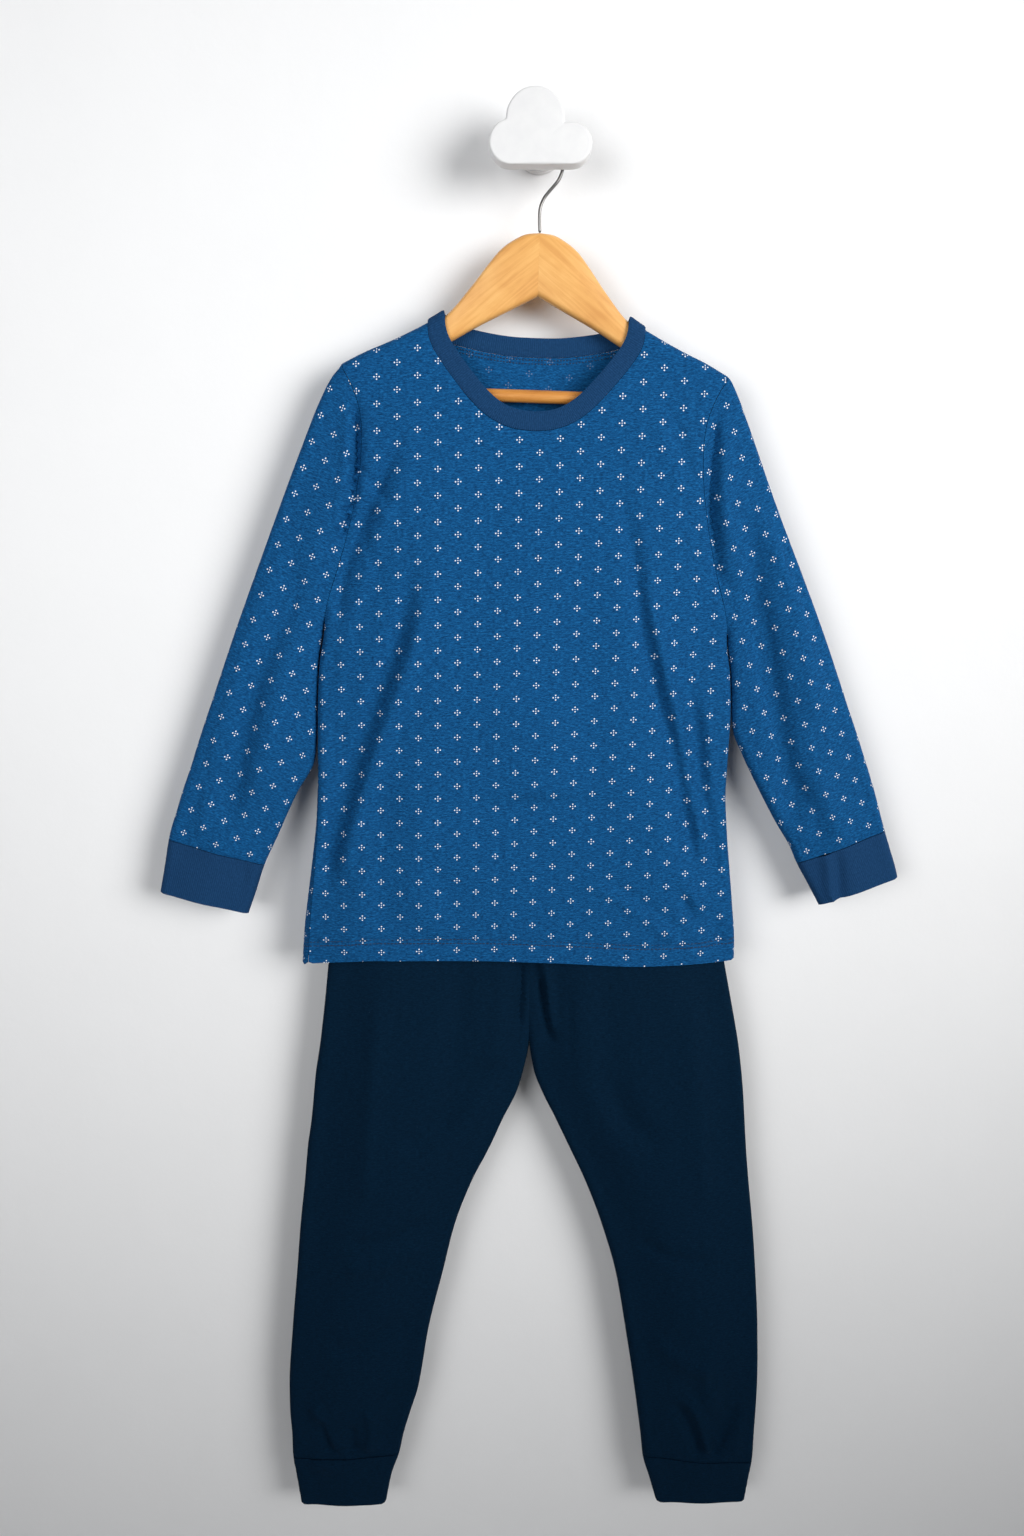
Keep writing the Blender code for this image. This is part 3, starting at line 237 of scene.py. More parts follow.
# Sleeves and their cuffs, in wall millimetres; above the armpit the body gives the inner side
LEFT_SLEEVE = table(
    Limb,
    (-130, -118, -110, 9.0, 8.6),
    (-157.4, -148.5, -130, 9.4, 8.8),
    (-166, -156.4, -140, 10.0, 9.2),
    (-183, -166.0, -150, 11.0, 9.8),
    (-222, -183.2, -168, 12.5, 10.5),
    (-265, -201.2, -168, 13.0, 11.0),
    (-310, -219.6, -168, 13.2, 11.0),
    (-351, -236.2, -168.6, 13.0, 11.0),
    (-372, -244.4, -172.0, 12.8, 11.0),
    (-405, -257.0, -175.2, 12.6, 10.8),
    (-438, -269.7, -177.0, 12.4, 10.6),
    (-454, -275.6, -178.4, 12.2, 10.4),
    (-464, -279.0, -180.4, 12.0, 10.2),
    (-472, -282.1, -184.6, 11.6, 10.0),
    (-485, -287.2, -193.0, 11.2, 9.8),
    (-501, -292.8, -201.2, 10.8, 9.4),
    (-525, -301.0, -212.4, 10.2, 9.0),
    (-549, -306.0, -224.0, 9.6, 8.6),
    (-570.6, -310.8, -231.6, 9.2, 8.4),
    (-592, -315.6, -239.5, 8.8, 8.2),
)
RIGHT_SLEEVE = table(
    Limb,
    (-135, 112, 100, 9.0, 8.6),
    (-165.8, 143.0, 125, 9.4, 8.8),
    (-174, 147.8, 130, 10.0, 9.2),
    (-199, 158.6, 140, 11.0, 9.8),
    (-228, 170.2, 150, 12.5, 10.5),
    (-251, 179.4, 150, 12.8, 10.8),
    (-274, 189.0, 150, 13.0, 11.0),
    (-314, 206.4, 150, 13.2, 11.0),
    (-361, 226.2, 149.4, 13.0, 11.0),
    (-396, 239.8, 153.4, 12.8, 11.0),
    (-420, 248.9, 154.8, 12.4, 10.8),
    (-436, 255.2, 156.6, 12.2, 10.6),
    (-457, 263.0, 165.2, 11.8, 10.2),
    (-487, 273.7, 180.4, 11.2, 9.8),
    (-514, 282.2, 195.3, 10.6, 9.4),
    (-533, 288.6, 207.0, 10.2, 9.0),
    (-547.6, 293.8, 213.6, 9.6, 8.6),
    (-565, 299, 223.4, 9.2, 8.4),
    (-588, 306, 236, 8.8, 8.2),
)

# Where each cuff starts and ends, in wall millimetres, from the outer fold to the inner one
LEFT_SLEEVE_END = table(Line, (-301.0, -525.6), (-224.0, -549))
LEFT_CUFF_END = table(Line, (-310.8, -570.6), (-238.4, -590.8))
RIGHT_SLEEVE_END = table(Line, (283.4, -518), (213.6, -547.6))
RIGHT_CUFF_END = table(Line, (296.6, -557.6), (234.0, -583.6))
LEFT_ANKLE_SEAM = table(Line, (-221.7, -1112), (-123.6, -1108))
LEFT_ANKLE_END = table(Line, (-216.0, -1161), (-137.2, -1161))
RIGHT_ANKLE_SEAM = table(Line, (200.4, -1117), (99.0, -1110))
RIGHT_ANKLE_END = table(Line, (195, -1158), (112.2, -1159))

# Legs and ankle cuffs, in wall millimetres: above the crotch inner lies past the centre seam
LEFT_LEG = table(
    Limb,
    (-462, -143, 9, 8.6, 8.2),
    (-492, -143, 6, 9.5, 8.8),
    (-560, -160, 1, 12.0, 10.0),
    (-632, -173.5, -1.5, 14.5, 11.5),
    (-668, -178, -3.0, 15.0, 12.0),
    (-707, -183.4, -6.2, 15.0, 12.0),
    (-732, -187.7, -11.2, 15.0, 12.0),
    (-749, -189.8, -16, 15.0, 12.0),
    (-776, -193, -28.5, 15.0, 12.0),
    (-801, -197, -39.2, 14.8, 12.0),
    (-836, -201, -56, 14.4, 11.8),
    (-877, -206.2, -70.8, 13.8, 11.4),
    (-924, -211, -82, 13.2, 11.0),
    (-978, -216.8, -94.9, 12.6, 10.6),
    (-1041, -222.2, -105.6, 12.0, 10.2),
    (-1066, -222.6, -113, 11.4, 9.8),
    (-1090, -221.6, -119.8, 10.6, 9.4),
    (-1109, -221.8, -123.8, 10.0, 9.0),
    (-1133, -219.2, -131.6, 9.6, 8.8),
    (-1165, -215.6, -137.8, 9.0, 8.4),
)
RIGHT_LEG = table(
    Limb,
    (-462, 131, -21, 8.6, 8.2),
    (-492, 131, -18, 9.5, 8.8),
    (-560, 144, -13, 12.0, 10.0),
    (-632, 156.7, -10.5, 14.5, 11.5),
    (-668, 164, -9.0, 15.0, 12.0),
    (-707, 171.6, -5.8, 15.0, 12.0),
    (-732, 175.2, -1.6, 15.0, 12.0),
    (-749, 177.2, 4.6, 15.0, 12.0),
    (-776, 179.6, 17.2, 15.0, 12.0),
    (-801, 181.8, 28.4, 14.8, 12.0),
    (-836, 185.6, 43.8, 14.4, 11.8),
    (-877, 190.6, 58.4, 13.8, 11.4),
    (-924, 195.2, 71.4, 13.2, 11.0),
    (-978, 199.3, 80.7, 12.6, 10.6),
    (-1041, 201.6, 90.4, 12.0, 10.2),
    (-1066, 201.3, 93.8, 11.4, 9.8),
    (-1090, 200.7, 97, 10.6, 9.4),
    (-1112, 200.5, 99.4, 10.0, 9.0),
    (-1138, 197.4, 106.6, 9.6, 8.8),
    (-1160, 194.8, 112.6, 9.0, 8.4),
)
WAISTBAND = table(
    Limb,
    (-462, -143, 131, 9.0, 10.6),
    (-492, -143, 131, 9.2, 10.8),
)
LEG_FOLDS = table(
    Fold,
    (138, -1020, 160, -1095, 9, -2.2),
    (178, -1030, 163, -1095, 9, -2.0),
    (151, -1000, 160, -1060, 8, 1.6),
    (-196, -1075, -176, -1106, 7, -1.6),
    (-150, -1070, -164, -1106, 7, -1.4),
    (-120, -800, -150, -960, 20, 1.4),
    (110, -800, 140, -980, 20, 1.4),
)

# Three round bumps make the cloud's outline above its flat bottom
CLOUD = table(Bump, (-4.0, 7.0, 20.8), (-22.0, -8.6, 15.0), (22.6, -9.6, 14.0))

# Creases drawn on top of the folds above, in millimetres; a negative depth is a trough
FRONT_CREASES = creases(
    (13, -2.4, (-104, -400), (-112, -470), (-104, -548)),
    (12, 2.2, (-72, -420), (-80, -480), (-66, -545)),
    (24, 3.6, (104, -400), (122, -460), (136, -520), (142, -575)),
    (22, 2.6, (-112, -430), (-128, -500), (-140, -572)),
    (3.6, -4.2, (-137, -112), (-134, -128), (-133, -150), (-134, -184), (-139, -206), (-149, -242)),
    (3.6, -3.2, (141, -112), (138, -130), (137, -160), (138, -190), (144, -223), (153, -270)),
    (6.6, -6.0, (60, -165), (71, -196), (81, -236), (92, -286), (106, -339), (123, -388),
     (135, -437), (152, -492)),
    (6.3, 5.5, (82, -215), (93, -264), (108, -312), (121, -357), (134, -412), (146, -452), (159, -500)),
    (7, -4.4, (127, -318), (137, -363), (145, -412), (152, -449), (160, -498)),
    (4.5, 2.3, (141, -330), (151, -392), (158, -440)),
    (4, 1.7, (50, -488), (86, -509), (138, -544)),
    (4, -1.4, (62, -484), (94, -502), (138, -531)),
    (5, -2.5, (132, -497), (144, -518), (157, -530)),
    (5, 2.1, (128, -478), (140, -499), (156, -516)),
    (5, -1.6, (99, -112), (112, -148), (124, -176)),
    (5.4, 1.4, (90, -126), (103, -158), (116, -190)),
    (7.4, -6.6, (-86, -226), (-92, -262), (-101, -305), (-117, -353), (-134, -408), (-149, -459),
     (-162, -516)),
    (3.6, -1.6, (-136, -168), (-120, -184), (-100, -204)),
    (3.6, 1.5, (-137, -176), (-122, -194), (-104, -216)),
    (3.2, -1.5, (-138, -196), (-126, -224), (-114, -256)),
    (7.2, 4.8, (-74, -235), (-84, -298), (-102, -353), (-120, -408), (-135, -459), (-146, -508)),
    (5, -5.2, (-92, -142), (-108, -167), (-121, -195), (-133, -226), (-145, -256), (-154, -300)),
    (5.4, 2.1, (-82, -156), (-98, -182), (-112, -214), (-125, -250), (-136, -292)),
    (4, -2.0, (-149, -312), (-158, -352)),
    (8.1, 1.6, (-130, -250), (-142, -310), (-148, -380)),
    (16.2, -1.7, (-96, -466), (-46, -516)),
    (43.2, 4.0, (8, -330), (14, -430)),
    (12.6, -1.1, (-70, -112), (-86, -170)),
    (19.8, -1.4, (-34, -170), (-40, -300), (-48, -420)),
    (18, -1.4, (44, -200), (52, -330), (60, -470)),
)
BACK_CREASES = creases(
    (8.1, 2.7, (-112, -230), (-124, -320), (-138, -430)),
    (7.2, -2.7, (-98, -250), (-108, -330), (-122, -430)),
    (18.0, -1.5, (-58, -150), (-66, -380)),
    (19.8, -1.4, (40, -150), (46, -400)),
    (8.1, 2.1, (108, -240), (124, -330), (140, -440)),
    (7.2, -2.9, (94, -260), (108, -350), (122, -430)),
    (8, -0.8, (96, -450), (124, -500), (152, -536)),
    (16.2, 1.5, (0, -420), (6, -560)),
)
LEFT_SLEEVE_CREASES = creases(
    (2.8, -7.7, (-141, -174), (-138.5, -188), (-138, -204), (-139, -223), (-141, -244),
     (-144, -259), (-153, -290)),
    (4.5, 2.0, (-147, -182), (-146, -215), (-149, -250), (-158, -285)),
    (11.5, -7.7, (-172, -268), (-198, -338), (-216, -378), (-230, -420), (-243, -469), (-255, -528)),
    (9.9, 2.4, (-192, -268), (-214, -330), (-240, -400), (-264, -480)),
    (9.9, 2.2, (-176, -330), (-196, -385), (-212, -440), (-226, -500)),
    (6.3, -1.7, (-160, -300), (-178, -318), (-196, -322)),
    (6.3, -1.6, (-182, -452), (-206, -462), (-226, -458)),
    (5, 1.7, (-262, -480), (-276, -522)),
)
RIGHT_SLEEVE_CREASES = creases(
    (3.2, -7.2, (137, -178), (135, -190), (133.5, -205), (132.5, -232), (132.5, -262),
     (136, -292), (142, -322)),
    (5, 2.0, (145, -190), (143, -225), (143, -262), (149, -300)),
    (9.5, -7.2, (152, -240), (163, -295), (174, -350), (184, -396), (192, -432), (201, -470), (214, -522)),
    (11.7, 5.5, (168, -236), (186, -290), (203, -345), (216, -396), (226, -440)),
    (5, -1.6, (172, -236), (176, -262), (184, -290)),
    (5.4, -1.6, (246, -400), (258, -450), (268, -500)),
    (5.4, -1.8, (206, -470), (222, -500), (232, -530)),
    (6.3, 1.6, (220, -462), (240, -505), (252, -534)),
)
CUFF_CREASES = creases(
    (4.2, 3.2, (233, -528), (237, -548), (240, -570), (243, -592)),
    (3.6, -2.6, (243, -532), (247, -556), (251, -588)),
    (6, -1.6, (-240, -540), (-239, -566), (-233, -594)),
    (14, 0.8, (-292, -536), (-282, -590)),
)
LEG_CREASES = creases(
    (15, -4.5, (104, -430), (122, -470), (130, -520), (134, -548)),
    (15, -3.5, (-112, -440), (-128, -500), (-136, -546)),
    (7, 2.0, (-208, -1114), (-180, -1121)),
    (3.2, -10.3, (-9, -560), (-9.5, -620), (-12, -668), (-10, -702)),
    (5.4, 5.1, (4, -560), (7, -640), (12, -700)),
    (3, -6.6, (3, -632), (4.5, -655), (8, -680), (13, -704)),
    (1.4, -1.3, (27, -650), (28, -700), (29, -718)),
    (9, 4.1, (-26, -590), (-28, -660), (-36, -730)),
    (14.4, -4.1, (-60, -600), (-66, -700), (-84, -800)),
    (14.4, -2.7, (56, -620), (60, -700), (82, -800)),
    (10.8, -3.6, (-40, -712), (-78, -770), (-116, -800)),
    (10.8, -2.6, (44, -716), (80, -772), (110, -800)),
    (8.1, 2.3, (-130, -640), (-140, -760), (-150, -860)),
    (8.1, 2.3, (126, -640), (138, -760), (148, -860)),
    (8.1, -2.7, (-86, -862), (-126, -884), (-168, -890)),
    (7.2, 2.3, (-92, -886), (-130, -908), (-170, -914)),
    (7.2, -2.3, (84, -880), (118, -902), (156, -906)),
    (8.1, -2.2, (-112, -960), (-150, -990), (-184, -996)),
    (7.2, 2.0, (100, -980), (134, -1010), (162, -1018)),
    (5.4, 4.1, (-202, -1046), (-190, -1080), (-178, -1104)),
    (4, -4.6, (-196, -1064), (-184, -1106)),
    (5.4, 4.1, (-150, -1052), (-148, -1080), (-152, -1104)),
    (4, -4.1, (-166, -1070), (-166, -1106)),
    (5, -5.1, (124, -1046), (140, -1076), (152, -1112)),
    (5, 4.6, (136, -1042), (150, -1068), (160, -1106)),
    (5, -4.6, (184, -1050), (172, -1080), (162, -1112)),
    (4, 2.3, (186, -1070), (182, -1108)),
)

# The woven lattice: where a motif lies, the way to the next in its row, and half the way to the next row
BODY_PRINT = Print(-6.4, -324.5, 30.7, 1.9, 0.2, -9.8)
LEFT_PRINT = Print(-234.5, -419.3, 26.6, -8.9, -3.6, -9.6)
RIGHT_PRINT = Print(193.3, -459.5, 24.6, 10.6, 3.3, -9.5)
PLAIN_PRINT = Print(0, 0, 30, 0, 0, -10)
CELL_X, CELL_Z = 30.0, 20.0

# The dots of one motif, in metres: away from its middle across and down, and the radius
MOTIF_DOTS = ((0.0019, 0.0, 0.0005), (0.0, 0.0018, 0.0005), (0.0, 0.0, 0.00035))

# The mesh: between points inside a piece, and along its outline
SPACING = 3.3
STEP = 3.6

# Slow waves of the hanging cloth: how fast across and down, where they start, and how high
SWELL = (
    (0.031, 0.012, 0.4, 0.32), (-0.022, 0.019, 1.9, 0.30), (0.055, -0.021, 3.1, 0.20),
    (0.013, 0.047, 5.2, 0.16), (0.083, 0.034, 0.9, 0.12), (-0.064, 0.071, 2.6, 0.10),
)


# Curves through short tables

def ease(t):
    t = np.clip(t, 0.0, 1.0)
    return t * t * (3.0 - 2.0 * t)


def soft_bump(distance, width):
    """1 on a line, falling softly to nothing within about twice the width."""
    return np.exp(-((distance / width) ** 2))


@lru_cache(maxsize=None)
def curve(rows, column, key):
    """Knots, values and slopes of a smooth curve through the rows that never overshoots them."""
    pairs = sorted((getattr(row, key), getattr(row, column)) for row in rows)
    knots, values = np.array(pairs, float).T
    steps = np.diff(values) / np.diff(knots)
    a, b = steps[:-1], steps[1:]
    inner = np.where(a * b > 0, 2 * a * b / np.where(a * b > 0, a + b, 1.0), 0.0)
    return knots, values, np.concatenate([steps[:1], inner, steps[-1:]])


def read(rows, column, at, key="z"):
    """The column's value where the key column equals at. Past the table's ends it stays level."""
    knots, values, slopes = curve(rows, column, key)
    at = np.clip(at, knots[0], knots[-1])
    i = np.clip(np.searchsorted(knots, at, side="right") - 1, 0, len(knots) - 2)
    width = knots[i + 1] - knots[i]
    t = (at - knots[i]) / width
    return (
        values[i] * (1 + 2 * t) * (1 - t) ** 2
        + slopes[i] * width * t * (1 - t) ** 2
        + values[i + 1] * t * t * (3 - 2 * t)
        - slopes[i + 1] * width * t * t * (1 - t)
    )


def half_depth(rows, facing, z):
    """How deep the cloth bulges at a height, to the front or to the back."""
    return np.where(facing < 0, read(rows, "front", z), read(rows, "back", z))


def unit(vectors):
    return vectors / np.linalg.norm(vectors, axis=-1, keepdims=True)


def lengths_along(points):
    return np.concatenate([[0], np.cumsum(np.linalg.norm(np.diff(points, axis=0), axis=1))])


def both_halves(half):
    """The mirror image of half a line, then the half itself from its end back to its start."""
    return np.concatenate([half * np.tile((-1, 1), half.shape[1] // 2), half[-2::-1]])


def smooth_line(points, distances):
    """Places along a smooth curve through the points; distances(length) says how far along each one lies."""
    p = np.array([points[0], *points, points[-1]], float)
    t = np.linspace(0, 1, 24, endpoint=False)[:, None]
    fine = [
        0.5 * (2 * a + (b - before) * t + (2 * before - 5 * a + 4 * b - after) * t ** 2
               + (3 * a - before - 3 * b + after) * t ** 3)
        for before, a, b, after in zip(p, p[1:], p[2:], p[3:])
    ]
    fine = np.concatenate([*fine, p[-1:]])
    lengths = lengths_along(fine)
    want = distances(lengths[-1])
    return np.stack([np.interp(want, lengths, fine[:, k]) for k in (0, 1)], -1)


def evenly(step):
    return lambda length: np.linspace(0, length, max(2, round(length / step)) + 1)


def capped(step):
    """Short steps round the shoulder fold first, then even ones."""
    arc = math.pi / 2 * SHOULDER_RADIUS

    def distances(length):
        count = round((length - arc) / step)
        return np.concatenate([np.linspace(0, arc, 6)[:-1], np.linspace(arc, length, count)])

    return distances


def fold_height(folds, x, z):
    """How far the folds lift the cloth at a place: a soft ridge or trough along each fold's line."""
    lift = np.zeros_like(x)
    for fold in folds:
        run_x, run_z = fold.x_low - fold.x_top, fold.z_low - fold.z_top
        length = math.hypot(run_x, run_z)
        along_it = ((x - fold.x_top) * run_x + (z - fold.z_top) * run_z) / length
        across = ((x - fold.x_top) * run_z - (z - fold.z_top) * run_x) / length
        fade = FOLD_FADE * length
        ends = ease((along_it + fold.width) / fade) * ease((length + fold.width - along_it) / fade)
        near = (along_it > -fold.width) & (along_it < length + fold.width)
        lift += np.where(near, fold.depth * ends * soft_bump(across, fold.width), 0.0)
    return lift


def crease_height(creases, x, z):
    """How far the creases lift the cloth at a place. Each one fades in slowly and ends sooner."""
    lift = np.zeros_like(x)
    for crease in creases:
        line = smooth_line(crease.line, evenly(max(6.0, crease.width)))
        reach = 2.4 * crease.width
        low, high = line.min(0) - reach, line.max(0) + reach
        near = np.flatnonzero((x > low[0]) & (x < high[0]) & (z > low[1]) & (z < high[1]))
        if not len(near):
            continue
        place = np.stack([x[near], z[near]], -1)[:, None]
        start, run = line[:-1], np.diff(line, axis=0)
        share = ((place - start) * run).sum(-1) / (run ** 2).sum(-1)
        off = np.linalg.norm(place - start - run * np.clip(share, 0, 1)[..., None], axis=-1)
        best = off.argmin(1)
        far = (best + np.clip(share[np.arange(len(near)), best], 0, 1)) / len(run)
        ends = ease(far / CREASE_FADE_IN) * ease((1 - far) / CREASE_FADE_OUT)
        lift[near] += crease.depth * ends * soft_bump(off.min(1), crease.width)
    return lift


def swell(x, z, turn=0.0):
    """The slight unevenness of hanging jersey."""
    return sum(size * np.sin(kx * x + kz * z + phase + turn) for kx, kz, phase, size in SWELL)


# Flattened cloth: a front and a back that turn into each other round a fold at either edge

QUARTER_LESS_RADIUS = math.pi / 2 - 1


def fold_turn(a, low, high):
    """x and the cosine of the fold's turn for the unrolled place a between the folds low and high."""
    left, right = (low + EDGE_RADIUS - a) / EDGE_RADIUS, (a - high + EDGE_RADIUS) / EDGE_RADIUS
    x = np.where(left > 0, low + EDGE_RADIUS * (1 - np.sin(left)), a)
    x = np.where(right > 0, high - EDGE_RADIUS * (1 - np.sin(right)), x)
    return x, np.where(left > 0, np.cos(left), np.where(right > 0, np.cos(right), 1.0))


def unrolled(x, low, high):
    """The unrolled place of x, the other way round from fold_turn."""
    left = np.arcsin(np.clip(1 - (x - low) / EDGE_RADIUS, 0.0, 1.0))
    right = np.arcsin(np.clip(1 - (high - x) / EDGE_RADIUS, 0.0, 1.0))
    x = np.where(x < low + EDGE_RADIUS, low + EDGE_RADIUS * (1 - left), x)
    return np.where(x > high - EDGE_RADIUS, high - EDGE_RADIUS * (1 - right), x)


def leaned(x, y, z):
    """Points of the leaning frame, in wall millimetres."""
    c, s = math.cos(LEAN), math.sin(LEAN)
    return np.stack([x * c + z * s, y + 0 * x, APEX_Z - x * s + z * c], -1)


# Meshes

def inset(outline, distance):
    """The outline moved inwards by a distance; it runs clockwise."""
    before, after = np.roll(outline, 1, axis=0), np.roll(outline, -1, axis=0)
    first, second = outline - before, after - outline
    way = sum(np.stack([d[:, 1], -d[:, 0]], -1) / np.linalg.norm(d, axis=1)[:, None] for d in (first, second))
    return outline + unit(way) * distance


def inside(outline, places, margin):
    """Which places lie in the outline and at least margin from its edge."""
    a, b = outline, np.roll(outline, 1, axis=0)
    run = b - a
    odd = np.zeros(len(places), bool)
    near = np.zeros(len(places), bool)
    for part in np.array_split(np.arange(len(places)), max(1, len(places) // 2000)):
        p = places[part][:, None]
        crossing = (a[:, 1] > p[..., 1]) != (b[:, 1] > p[..., 1])
        slope = np.where(run[:, 1] == 0, 1.0, run[:, 1])
        left_of = p[..., 0] < a[:, 0] + (p[..., 1] - a[:, 1]) * run[:, 0] / slope
        odd[part] = (crossing & left_of).sum(1) % 2 == 1
        t = np.clip(((p - a) * run).sum(-1) / (run ** 2).sum(-1), 0, 1)
        near[part] = (np.linalg.norm(p - a - run * t[..., None], axis=-1) < margin).any(1)
    return odd & ~near


def lattice(outline, spacing):
    """Staggered places inside the outline."""
    low, high = outline.min(0), outline.max(0)
    rows = round((high[1] - low[1]) / (spacing * 0.87))
    places = []
    for i in range(1, rows):
        x = np.arange(low[0] + 0.5 * (i % 2) * spacing, high[0], spacing)
        places.append(np.stack([x, np.full_like(x, low[1] + (high[1] - low[1]) * i / rows)], -1))
    places = np.concatenate(places)
    return places[inside(outline, places, 0.6 * spacing)]


def bands(starts, ring):
    """Triangles between neighbouring rings of points, each ring known by the number of its first point."""
    faces = []
    for start, after in zip(starts, starts[1:]):
        for k in range(ring):
            j = (k + 1) % ring
            faces += [(start + k, start + j, after + j), (start + k, after + j, after + k)]
    return faces


def loft_faces(first, rows, ring):
    """Triangles of a closed loft of rings, with flat ends."""
    last = first + (rows - 1) * ring
    faces = bands(range(first, last + 1, ring), ring)
    for k in range(1, ring - 1):
        faces += [(first, first + k + 1, first + k), (last, last + k, last + k + 1)]
    return faces


def placed(name, data):
    made = bpy.data.objects.new(name, data)
    bpy.context.collection.objects.link(made)
    return made


def piece(name, slot, node, points, triangles, uv, inner=slice(0, 0), finish=None):
    """A closed mesh from millimetre points, riding on the part and standing for its node."""
    finish = finish or materials[slot]
    corners = points[triangles]
    if np.einsum("ij,ij->", corners[:, 0], np.cross(corners[:, 1], corners[:, 2])) < 0:
        triangles, uv = triangles[:, ::-1], uv[:, ::-1]
    mesh = bpy.data.meshes.new(name)
    mesh.from_pydata((points * MM).tolist(), [], triangles.tolist())
    chart = mesh.uv_layers.new(name="cloth")
    chart.data.foreach_set("uv", (uv * MM).reshape(-1).astype(np.float32))
    mesh.shade_smooth()
    mesh.set_sharp_from_angle(angle=math.radians(50))
    two_sided = isinstance(finish, tuple)
    for material in finish if two_sided else (finish,):
        mesh.materials.append(material)
    if two_sided:
        which = np.zeros(len(triangles), np.int32)
        which[inner] = 1
        mesh.polygons.foreach_set("material_index", which)
    made = placed(name, mesh)
    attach(made, "root")
    if node:
        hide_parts(node)


def normals(point, side, a, b):
    h = 0.3
    across = point(side, a + h, b) - point(side, a - h, b)
    down = point(side, a, b - h) - point(side, a, b + h)
    return unit(np.cross(across, down) * side)


def shell(node, slot, outline, shared, sides, point, chart, thickness=CLOTH, fixed=None):
    """One closed wall of cloth from an outline on the unrolled cloth, filled with small triangles."""
    places = np.concatenate([outline, lattice(outline, SPACING)])
    spots = [Vector(place) for place in places.tolist()]
    flat = delaunay_2d_cdt(spots, [], [list(range(len(outline)))], 1, 1e-6)
    triangles = np.array([[flat[3][k][0] for k in face] for face in flat[2]])
    a, b = places.T
    outer, ways, index, charts = [], [], [], []
    total = 0
    for side in sides:
        spots, out = point(side, a, b), normals(point, side, a, b)
        for (at, k), (spot, way) in (fixed or {}).items():
            if at == side:
                spots[k], out[k] = spot, way
        own = np.ones(len(places), bool)
        if side != sides[0]:
            own[list(shared)] = False
        number = np.cumsum(own) - 1 + total
        index.append(np.where(own, number, index[0] if index else 0))
        outer.append(spots[own])
        ways.append(out[own])
        charts.append(chart(side, a, b))
        total += own.sum()
    outer, ways = np.concatenate(outer), np.concatenate(ways)
    faces, uv = [], []
    for side, numbers, places_uv in zip(sides, index, charts):
        turned_faces = triangles if side < 0 else triangles[:, ::-1]
        faces.append(numbers[turned_faces])
        uv.append(places_uv[turned_faces])
    faces, uv = np.concatenate(faces), np.concatenate(uv)
    edges = {}
    for face, spots in zip(faces.tolist(), uv):
        for k in range(3):
            edges[face[k], face[(k + 1) % 3]] = (spots[k], spots[(k + 1) % 3])
    rim, rim_uv = [], []
    for (p, q), (uv_p, uv_q) in edges.items():
        if (q, p) not in edges:
            rim += [(q, p, p + total), (q, p + total, q + total)]
            rim_uv += [(uv_q, uv_p, uv_p), (uv_q, uv_p, uv_q)]
    faces = np.concatenate([faces, faces[:, ::-1] + total, np.array(rim)])
    uv = np.concatenate([uv, uv[:, ::-1], np.array(rim_uv)])
    points = np.concatenate([outer, outer - ways * thickness])
    shown = len(edges) // 3
    piece(node + "_fabric", slot, node, points, faces, uv, slice(shown, 2 * shown))


def printed(pattern, mirror=None):
    """chart(side, a, b): the cloth's own grid, in millimetres, so that motifs sit at whole cells."""
    grid = np.linalg.inv(np.array([[pattern.row_x, pattern.down_x], [pattern.row_z, pattern.down_z]]))

    def chart(side, a, b):
        if side > 0 and mirror is not None:
            a = 2 * mirror(b) - a
        along, down = grid @ np.stack([a - pattern.x, b - pattern.z])
        return np.stack([along * CELL_X, -down * CELL_Z / 2], -1)

    return chart


# The top

def ridge(x):
    return read(ARM_TOP, "z", abs(x), "x") + CLOTH_OVER_WOOD


def ridge_top(x):
    return ridge(x) + QUARTER_LESS_RADIUS * SHOULDER_RADIUS


def below_ridge(x, z, distance):
    """0 down to a distance under the shoulders' ridge, and 1 from twice that distance."""
    return ease((ridge(x) - distance - z) / distance)


def side_fold(sign, z):
    """How far the side fold lies from the middle, left for a negative sign."""
    return read(TORSO, "left" if sign < 0 else "right", z)


def torso_folds(b):
    return -side_fold(-1, b), side_fold(1, b)


def hem_height(x):
    """The height of the hem at a place across the leaning frame."""
    hang = read(HEM, "z", x - HEM_SHIFT, "x") - APEX_Z
    return (hang + x * math.sin(LEAN)) / math.cos(LEAN)


@lru_cache(maxsize=None)
def sunk_seams():
    """The armholes and the front neckline."""
    return armhole(-1)[5:], armhole(1)[5:], both_halves(neckline(NECK_FRONT)[5:])


def seam_pull(x, z):
    """How far the cloth sinks beside the armholes and the neckline, and rises over the turned-up hem."""
    past_hem = z - hem_height(x) - HEM_WIDTH
    hem = HEM_RISE * (1 - ease(past_hem / HEM_STEP)) - HEM_GROOVE * soft_bump(past_hem, 2.4)
    pucker = HEM_PUCKER * np.sin(x * 0.55 + 1.3 * np.sin(x * 0.07)) * soft_bump(past_hem, 7)
    sink = 0.0
    for seam in sunk_seams():
        step = np.concatenate([np.arange(0, len(x), 4000), [len(x)]])
        near = np.concatenate([
            np.linalg.norm(np.stack([x[i:j], z[i:j]], -1)[:, None] - seam, axis=-1).min(1)
            for i, j in zip(step, step[1:])
        ]) if len(x) else x
        sink = sink - SEAM_GROOVE * soft_bump(near, 2.6) + SEAM_RISE * soft_bump(near - 6, 3.0)
    return hem + pucker + sink


